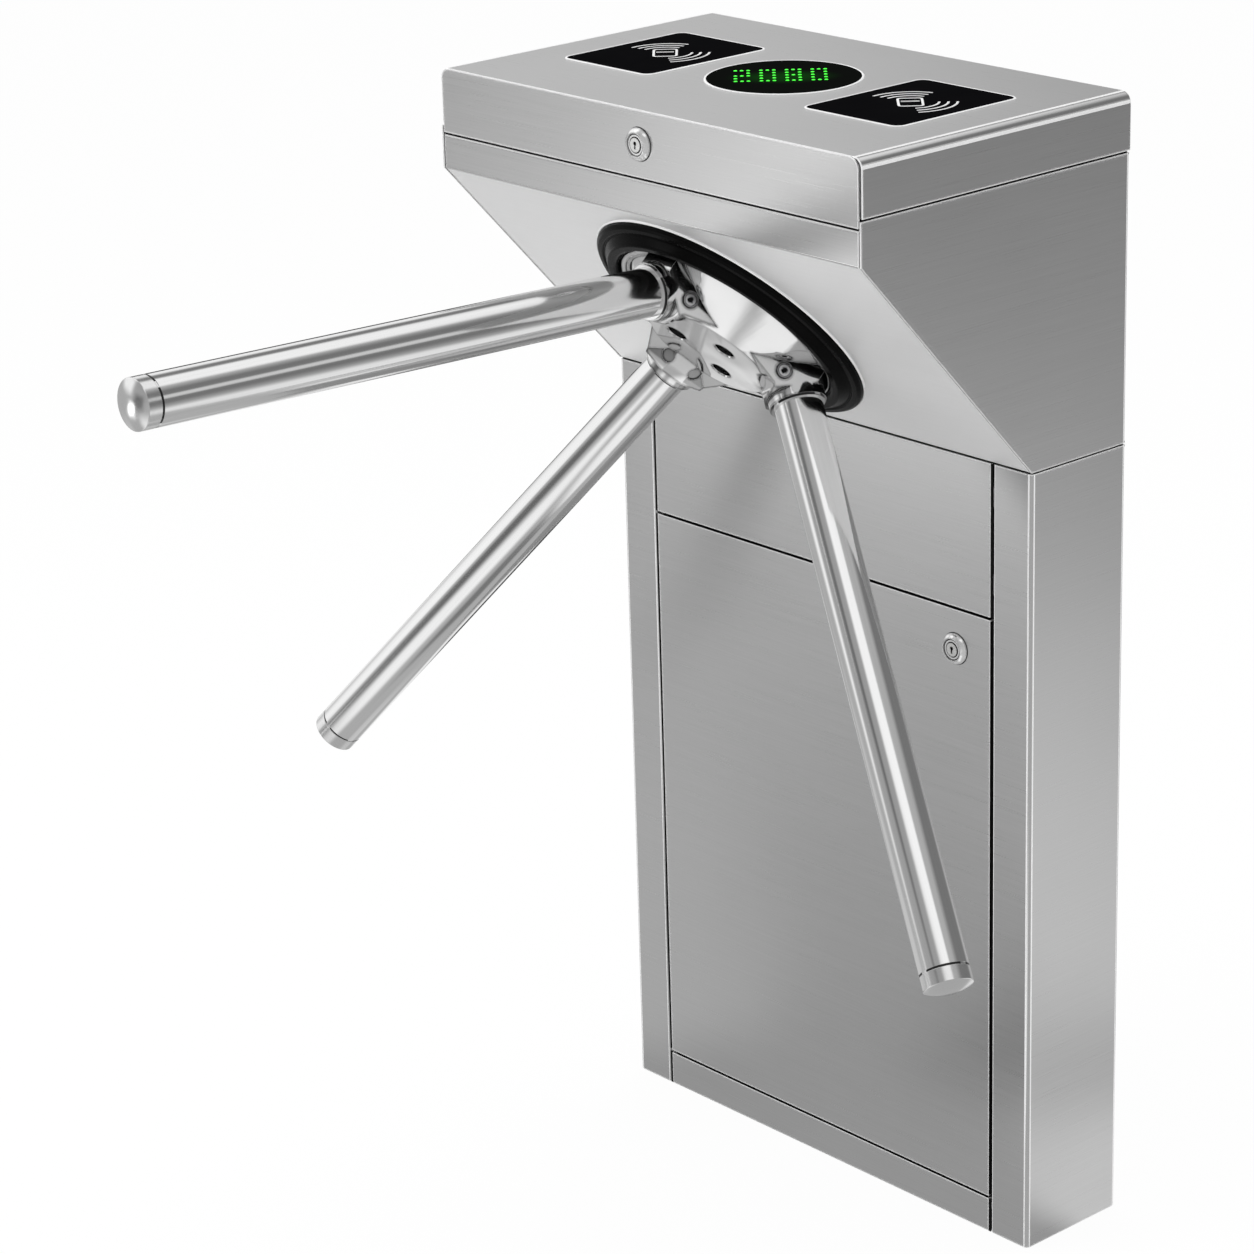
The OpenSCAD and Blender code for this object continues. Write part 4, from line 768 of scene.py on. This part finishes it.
def makeHingeScrews():
    tree, sizes = screwTree()
    low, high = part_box("lid_hinge_pins")
    pinZ = (low[2] + high[2]) / 2
    for node, side, body in (("lid_hinge_fixed", -1, "cabinet"), ("lid_hinge_moving", 1, "lid")):
        points = [(centre + x * hingeScrews["xFromCentre"], hingeScrews["y"],
                   pinZ + side * hingeScrews["zFromPin"])
                  for centre in hingeScrews["hinges"] for x in (-1, 1)]
        newPiece(grow(node + "_screws", tree, points, sizes), body)


makeHingeScrews()


# Hexagon sockets and seats of the screws in the bosses, drawn as thin dark marks of painted shade, each
# turned to its own screw's face

bossSocketShades = {"Socket Size": 0.0042, "Seat Size": 0.0100, "Seat Width": 0.0006}
bossScrew = {"length": 0.00735, "innerReach": 0.025, "endSides": 12, "markDepth": 0.0002}


def bossScrewHeads():
    # Centre and direction of each screw's head, measured from its inner end beside the arm
    apex = hubCentre - armCone["apexDepth"] * hubOut
    heads = []
    for face in bpy.data.objects["boss_screws_dressed"].data.polygons:
        reach = min((face.center - apex).cross(armAxis(turn)).length for turn in armTurns.values())
        if len(face.vertices) > bossScrew["endSides"] and reach < bossScrew["innerReach"]:
            heads.append((face.center - bossScrew["length"] * face.normal, -face.normal))
    return heads


def makeBossSocketShades():
    tree, given = newTree("bossSocketShadeTree", bossSocketShades)
    depth = bossScrew["markDepth"]
    hexagon = addNode(tree, "GeometryNodeMeshCylinder", Vertices=6, Depth=depth,
                      Radius=calculate(tree, "MULTIPLY", given["Socket Size"], 0.5))
    circle = addNode(tree, "GeometryNodeCurvePrimitiveCircle", Resolution=32,
                     Radius=calculate(tree, "MULTIPLY", given["Seat Size"], 0.5))
    strip = addNode(tree, "GeometryNodeCurvePrimitiveQuadrilateral", Width=given["Seat Width"],
                    Height=depth)
    seat = addNode(tree, "GeometryNodeCurveToMesh", Curve=circle.outputs["Curve"],
                   **{"Profile Curve": strip.outputs["Curve"]})
    both = addNode(tree, "GeometryNodeJoinGeometry", Geometry=hexagon.outputs["Mesh"])
    tree.links.new(seat.outputs["Mesh"], both.inputs["Geometry"])
    facing = addNode(tree, "GeometryNodeInputNamedAttribute", data_type="FLOAT_VECTOR", Name="facing")
    aim = addNode(tree, "FunctionNodeAlignRotationToVector", axis="Z",
                  Vector=facing.outputs["Attribute"])
    marks = spreadCopies(tree, given["Geometry"], both.outputs["Geometry"],
                         Rotation=aim.outputs["Rotation"])
    finishTree(tree, marks, blackSealAndShadePaint)
    heads = bossScrewHeads()
    print("boss screws:", len(heads))
    mesh = grow("boss_screw_socket_shades", tree, [centre for centre, normal in heads], bossSocketShades,
                facing=[normal for centre, normal in heads])
    newPiece(mesh, "rotor")


makeBossSocketShades()


# Keyways and grooves of the two locks and the key switch, and a ring round each lock's foot, drawn dark as
# painted shade and a painted shadow

lockFlange = 0.005
keyway = {"radius": 0.00145, "lift": 0.0012, "slotWidth": 0.0011, "slotEnd": -0.0031,
          "depth": 0.00270, "thickness": 0.00015, "steps": 20}
# Radius, width and height above the panel of each dark ring: two grooves, and at the panel a painted
# shadow round the lock's foot
lockGroovesAndShadow = [(0.0064, 0.0007, 0.0040), (0.0086, 0.0006, 0.0040), (0.0137, 0.0006, 0.0)]
grooveDepth = {"below": 0.00005, "above": 0.00010}


def lockPlace(node, facing):
    # The frame of a lock: Z out of its panel, Y up
    low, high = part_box(node)
    middle = [(a + b) / 2 for a, b in zip(low, high)]
    upright = Matrix.Rotation(math.pi / 2, 4, "X")
    if facing == "front":
        return Matrix.Translation((middle[0], low[1] + lockFlange, middle[2])) @ upright
    toLeft = Matrix.Rotation(-math.pi / 2, 4, "Z")
    return Matrix.Translation((low[0] + lockFlange, middle[1], middle[2])) @ toLeft @ upright


# A thin dark plate in the keyway's shape: painted shade for the keyhole
def makeKeyway(name, body, place):
    bm = bmesh.new()
    radius, half, steps = keyway["radius"], keyway["slotWidth"] / 2, keyway["steps"]
    first = math.asin(half / radius)
    turns = [-math.pi / 2 + first + (2 * math.pi - 2 * first) * i / steps for i in range(steps + 1)]
    outline = [(radius * math.cos(turn), keyway["lift"] + radius * math.sin(turn)) for turn in turns]
    outline += [(-half, keyway["slotEnd"]), (half, keyway["slotEnd"])]
    face = bm.faces.new([bm.verts.new((x, y, keyway["depth"])) for x, y in outline])
    grown = bmesh.ops.extrude_face_region(bm, geom=[face])["geom"]
    lifted = [v for v in grown if isinstance(v, bmesh.types.BMVert)]
    bmesh.ops.translate(bm, vec=(0, 0, -keyway["thickness"]), verts=lifted)
    bmesh.ops.transform(bm, matrix=place, verts=bm.verts)
    newPiece(finishMesh(bm, name), body, blackSealAndShadePaint)


def makeGrooveShades(name, body, place):
    bm = bmesh.new()
    for radius, width, height in lockGroovesAndShadow:
        addStrip(bm, circleLine(radius, 64), width, height - grooveDepth["below"],
                 height + grooveDepth["above"], place)
    newPiece(finishMesh(bm, name), body, blackSealAndShadePaint)


for lock, turning, fixed, facing in (("lid_lock", "lid_cam", "lid", "front"),
                                     ("door_lock", "door_cam", "door", "front"),
                                     ("key_switch", "key_switch", "cabinet", "left")):
    place = lockPlace(lock + "_body", facing)
    makeKeyway(lock + "_keyway", turning, place)
    makeGrooveShades(lock + "_groove_shades", fixed, place)


# Thin black foam on the walls of the gaps round the door, and a bead round the fixed panels, which make
# the gaps dark: painted shade in the gaps

gapFoamShade = {"thickness": 0.0004, "behindFace": 0.0001, "depth": 0.0060, "beadDepth": 0.0006,
           "endGap": 0.001, "pivotEnd": 0.004, "lockEnd": 0.002}


def addSlab(bm, low, high):
    corners = [bm.verts.new((x, y, z)) for x in (low[0], high[0]) for y in (low[1], high[1])
               for z in (low[2], high[2])]
    for quad in ((0, 1, 3, 2), (4, 6, 7, 5), (0, 4, 5, 1), (2, 3, 7, 6), (0, 2, 6, 4), (1, 5, 7, 3)):
        bm.faces.new([corners[k] for k in quad])


def makeFoamShade():
    thick = gapFoamShade["thickness"]
    doorLow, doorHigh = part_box("door_panel")
    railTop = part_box("bottom_rail")[1][2]
    upperLow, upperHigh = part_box("upper_panel")
    front = doorLow[1] + gapFoamShade["behindFace"]
    back, beadBack = front + gapFoamShade["depth"], front + gapFoamShade["beadDepth"]
    gap = doorLow[2] - railTop
    jamb = doorHigh[0] + gap
    print("door gap", round(gap * 1000, 2), "stile at", round(jamb * 1000, 2))
    frameFoamShade, doorFoamShade = bmesh.new(), bmesh.new()
    bottom, top = doorLow[2] + gapFoamShade["endGap"], doorHigh[2] - gapFoamShade["endGap"]
    for side in (-1, 1):
        xs = sorted((side * jamb, side * (jamb - thick)))
        addSlab(frameFoamShade, (xs[0], front, bottom), (xs[1], back, top))
        xs = sorted((side * jamb, side * doorHigh[0]))
        for low, high in ((0.0, railTop), (upperLow[2], upperHigh[2])):
            addSlab(frameFoamShade, (xs[0], front, low), (xs[1], beadBack, high))
    addSlab(doorFoamShade, (doorHigh[0], front, bottom), (doorHigh[0] + thick, back, top))
    left, right = doorLow[0] + gapFoamShade["pivotEnd"], doorHigh[0] - gapFoamShade["lockEnd"]
    addSlab(frameFoamShade, (left, front, railTop), (right, back, railTop + thick))
    addSlab(doorFoamShade, (left, front, doorHigh[2]), (right, back, doorHigh[2] + thick))
    for name, bm, body in (("frame_foam_shade", frameFoamShade, "cabinet"), ("door_foam_shade", doorFoamShade, "door")):
        newPiece(finishMesh(bm, name), body, blackSealAndShadePaint)


makeFoamShade()
print("new pieces made")


# Floor, surround, lamps and camera

studio = {"floorDiffuse": 0.90, "floorReach": 40.0, "floorDrop": 0.0005, "floorRoughness": 0.9,
          "floorWhite": 0.95, "skyDiffuse": 0.80, "eyeHeight": 0.5, "base": 0.46}
white = (1, 1, 1, 1)

# What polished metal sees round it: azimuth, half width, lowest and highest elevation, softness, level
reflectedCards = [
    (-90, 60, 10, 60, 20, 0.36),
    (172, 40, 4, 30, 6, 0.97),
    (125, 11, 32, 48, 5, 0.20),
    (90, 27, 43, 60, 7, 1.00),
    (55, 38, -7, 42, 8, 0.19),
    (40, 10, 11, 22, 3, 0.66),
    (-38, 34, 50, 70, 8, 1.05),
    (-107, 8, 30, 41, 5, 0.14),
    (-158, 24, 28, 64, 8, 1.15),
    (-112, 11, -8, 7, 5, 0.15),
    (158, 16, -14, 0, 5, 0.92),
    (156, 17, -60, -20, 5, 0.92),
    (25, 22, -41, -15, 6, 0.86),
    (-95, 14, -33, -12, 5, 1.00),
    (-90, 15, -62, -44, 5, 0.20),
    (-62, 13, -60, -28, 5, 0.98),
    (-126, 8, -12, -5, 3, 2.2),
    (-151, 14, -60, -15, 6, 0.62),
    (30, 30, -75, -48, 6, 0.85),
    (139, 20, -45, 10, 3, 0.08),
    (-148, 16, 3, 22, 5, 1.02),
]

# Soft lamps: place, aim, size and power of each
studioLamps = {"keyLamp": ((-1.6, -2.4, 2.6), (0, -0.1, 0.6), (1.6, 1.6), 40.0),
               "fillLamp": ((2.6, -0.6, 1.6), (0, 0, 0.5), (1.4, 2.0), 12.0),
               "topLamp": ((-0.4, 0.9, 2.8), (0, -0.1, 0.9), (1.6, 1.2), 16.0)}
photoCamera = {"azimuth": 48.768, "elevation": 19.995, "roll": -1.736, "lens": 114.4,
               "sensorWidth": 36.0, "clip": (0.05, 100.0), "location": (2.288, -2.277, 1.665)}


def surround(tree, direction):
    # Brightness of the studio in each direction, as polished metal sees it
    split = addNode(tree, "ShaderNodeSeparateXYZ", Vector=direction)
    x, y, z = (split.outputs[k] for k in "XYZ")
    azimuth = calculate(tree, "ARCTAN2", y, x)
    flat = calculate(tree, "SQRT", calculate(tree, "ADD", calculate(tree, "MULTIPLY", x, x),
                                             calculate(tree, "MULTIPLY", y, y)))
    elevation = calculate(tree, "ARCTAN2", z, flat)
    level = studio["base"]
    for card in reflectedCards:
        turn, half, low, high, edge = (math.radians(angle) for angle in card[:5])
        aside = calculate(tree, "WRAP", calculate(tree, "SUBTRACT", azimuth, turn), math.pi, -math.pi)
        across = calculate(tree, "ABSOLUTE", aside)
        middle, tall = (low + high) / 2, (high - low) / 2
        upward = calculate(tree, "ABSOLUTE", calculate(tree, "SUBTRACT", elevation, middle))
        inWidth = remap(tree, across, 1, 0, half - edge, half + edge, "SMOOTHSTEP")
        inHeight = remap(tree, upward, 1, 0, tall - edge, tall + edge, "SMOOTHSTEP")
        level = blendValues(tree, calculate(tree, "MULTIPLY", inWidth, inHeight), level, card[5])
    return level


def mixShaders(tree, factor, first, second):
    node = addNode(tree, "ShaderNodeMixShader", Fac=factor)
    tree.links.new(first.outputs[0], node.inputs[1])
    tree.links.new(second.outputs[0], node.inputs[2])
    return node


def makeFloor():
    mesh = bpy.data.meshes.new("floor")
    r = studio["floorReach"]
    mesh.from_pydata([(-r, -r, 0), (r, -r, 0), (r, r, 0), (-r, r, 0)], [], [(0, 1, 2, 3)])
    floor = bpy.data.objects.new("floor", mesh)
    floor.location.z = -studio["floorDrop"]
    bpy.context.scene.collection.objects.link(floor)
    material, tree, shader = newMaterial("floorWhite")
    shader.inputs["Roughness"].default_value = studio["floorRoughness"]
    shader.inputs["Specular IOR Level"].default_value = 0.0
    shader.inputs["Base Color"].default_value = (studio["floorDiffuse"],) * 3 + (1,)
    paths = addNode(tree, "ShaderNodeLightPath")
    plain = addNode(tree, "ShaderNodeEmission", Color=white)
    coords = addNode(tree, "ShaderNodeTexCoord")
    seen = addNode(tree, "ShaderNodeVectorMath", operation="SUBTRACT")
    tree.links.new(coords.outputs["Object"], seen.inputs[0])
    seen.inputs[1].default_value = (0, 0, studio["eyeHeight"])
    glow = addNode(tree, "ShaderNodeEmission", Color=white,
                   Strength=surround(tree, seen.outputs["Vector"]))
    forCamera = calculate(tree, "MULTIPLY", paths.outputs["Is Camera Ray"], studio["floorWhite"])
    seenByCamera = mixShaders(tree, forCamera, shader, plain)
    whole = mixShaders(tree, paths.outputs["Is Glossy Ray"], seenByCamera, glow)
    tree.links.new(whole.outputs["Shader"], tree.nodes["Material Output"].inputs["Surface"])
    mesh.materials.append(material)


def makeWorld():
    world = bpy.data.worlds.new("studio")
    bpy.context.scene.world = world
    world.use_nodes = True
    tree = world.node_tree
    tree.nodes.clear()
    paths = addNode(tree, "ShaderNodeLightPath")
    plain = addNode(tree, "ShaderNodeBackground", Color=white)
    soft = addNode(tree, "ShaderNodeBackground", Color=white, Strength=studio["skyDiffuse"])
    coords = addNode(tree, "ShaderNodeTexCoord")
    shiny = addNode(tree, "ShaderNodeBackground", Color=white,
                    Strength=surround(tree, coords.outputs["Generated"]))
    lit = mixShaders(tree, paths.outputs["Is Glossy Ray"], soft, shiny)
    whole = mixShaders(tree, paths.outputs["Is Camera Ray"], lit, plain)
    addNode(tree, "ShaderNodeOutputWorld", Surface=whole.outputs["Shader"])


def addLamp(name, place, aim, size, power):
    light = bpy.data.lights.new(name, "AREA")
    light.shape = "RECTANGLE"
    light.size, light.size_y = size
    light.energy = power
    lamp = bpy.data.objects.new(name, light)
    lamp.location = place
    lamp.visible_glossy = False  # metal shows the soft surround alone
    lamp.rotation_euler = (Vector(aim) - Vector(place)).to_track_quat("-Z", "Y").to_euler()
    bpy.context.scene.collection.objects.link(lamp)


def placeCamera(settings):
    azimuth, elevation, roll = (math.radians(settings[k]) for k in ("azimuth", "elevation", "roll"))
    back = Vector((math.sin(azimuth) * math.cos(elevation), -math.cos(azimuth) * math.cos(elevation),
                   math.sin(elevation)))
    level = Vector((math.cos(azimuth), math.sin(azimuth), 0))
    above = back.cross(level)
    right = math.cos(roll) * level + math.sin(roll) * above
    up = math.cos(roll) * above - math.sin(roll) * level
    data = bpy.data.cameras.new("photoCamera")
    data.sensor_width = settings["sensorWidth"]
    data.lens = settings["lens"]
    data.clip_start, data.clip_end = settings["clip"]
    camera = bpy.data.objects.new("photoCamera", data)
    camera.matrix_world = Matrix.Translation(settings["location"]) @ Matrix((
        (right.x, up.x, back.x), (right.y, up.y, back.y), (right.z, up.z, back.z))).to_4x4()
    bpy.context.scene.collection.objects.link(camera)
    bpy.context.scene.camera = camera


makeFloor()
makeWorld()
for name, settings in studioLamps.items():
    addLamp(name, *settings)
placeCamera(photoCamera)
bpy.context.scene.view_settings.view_transform = "Standard"
print("stage set")
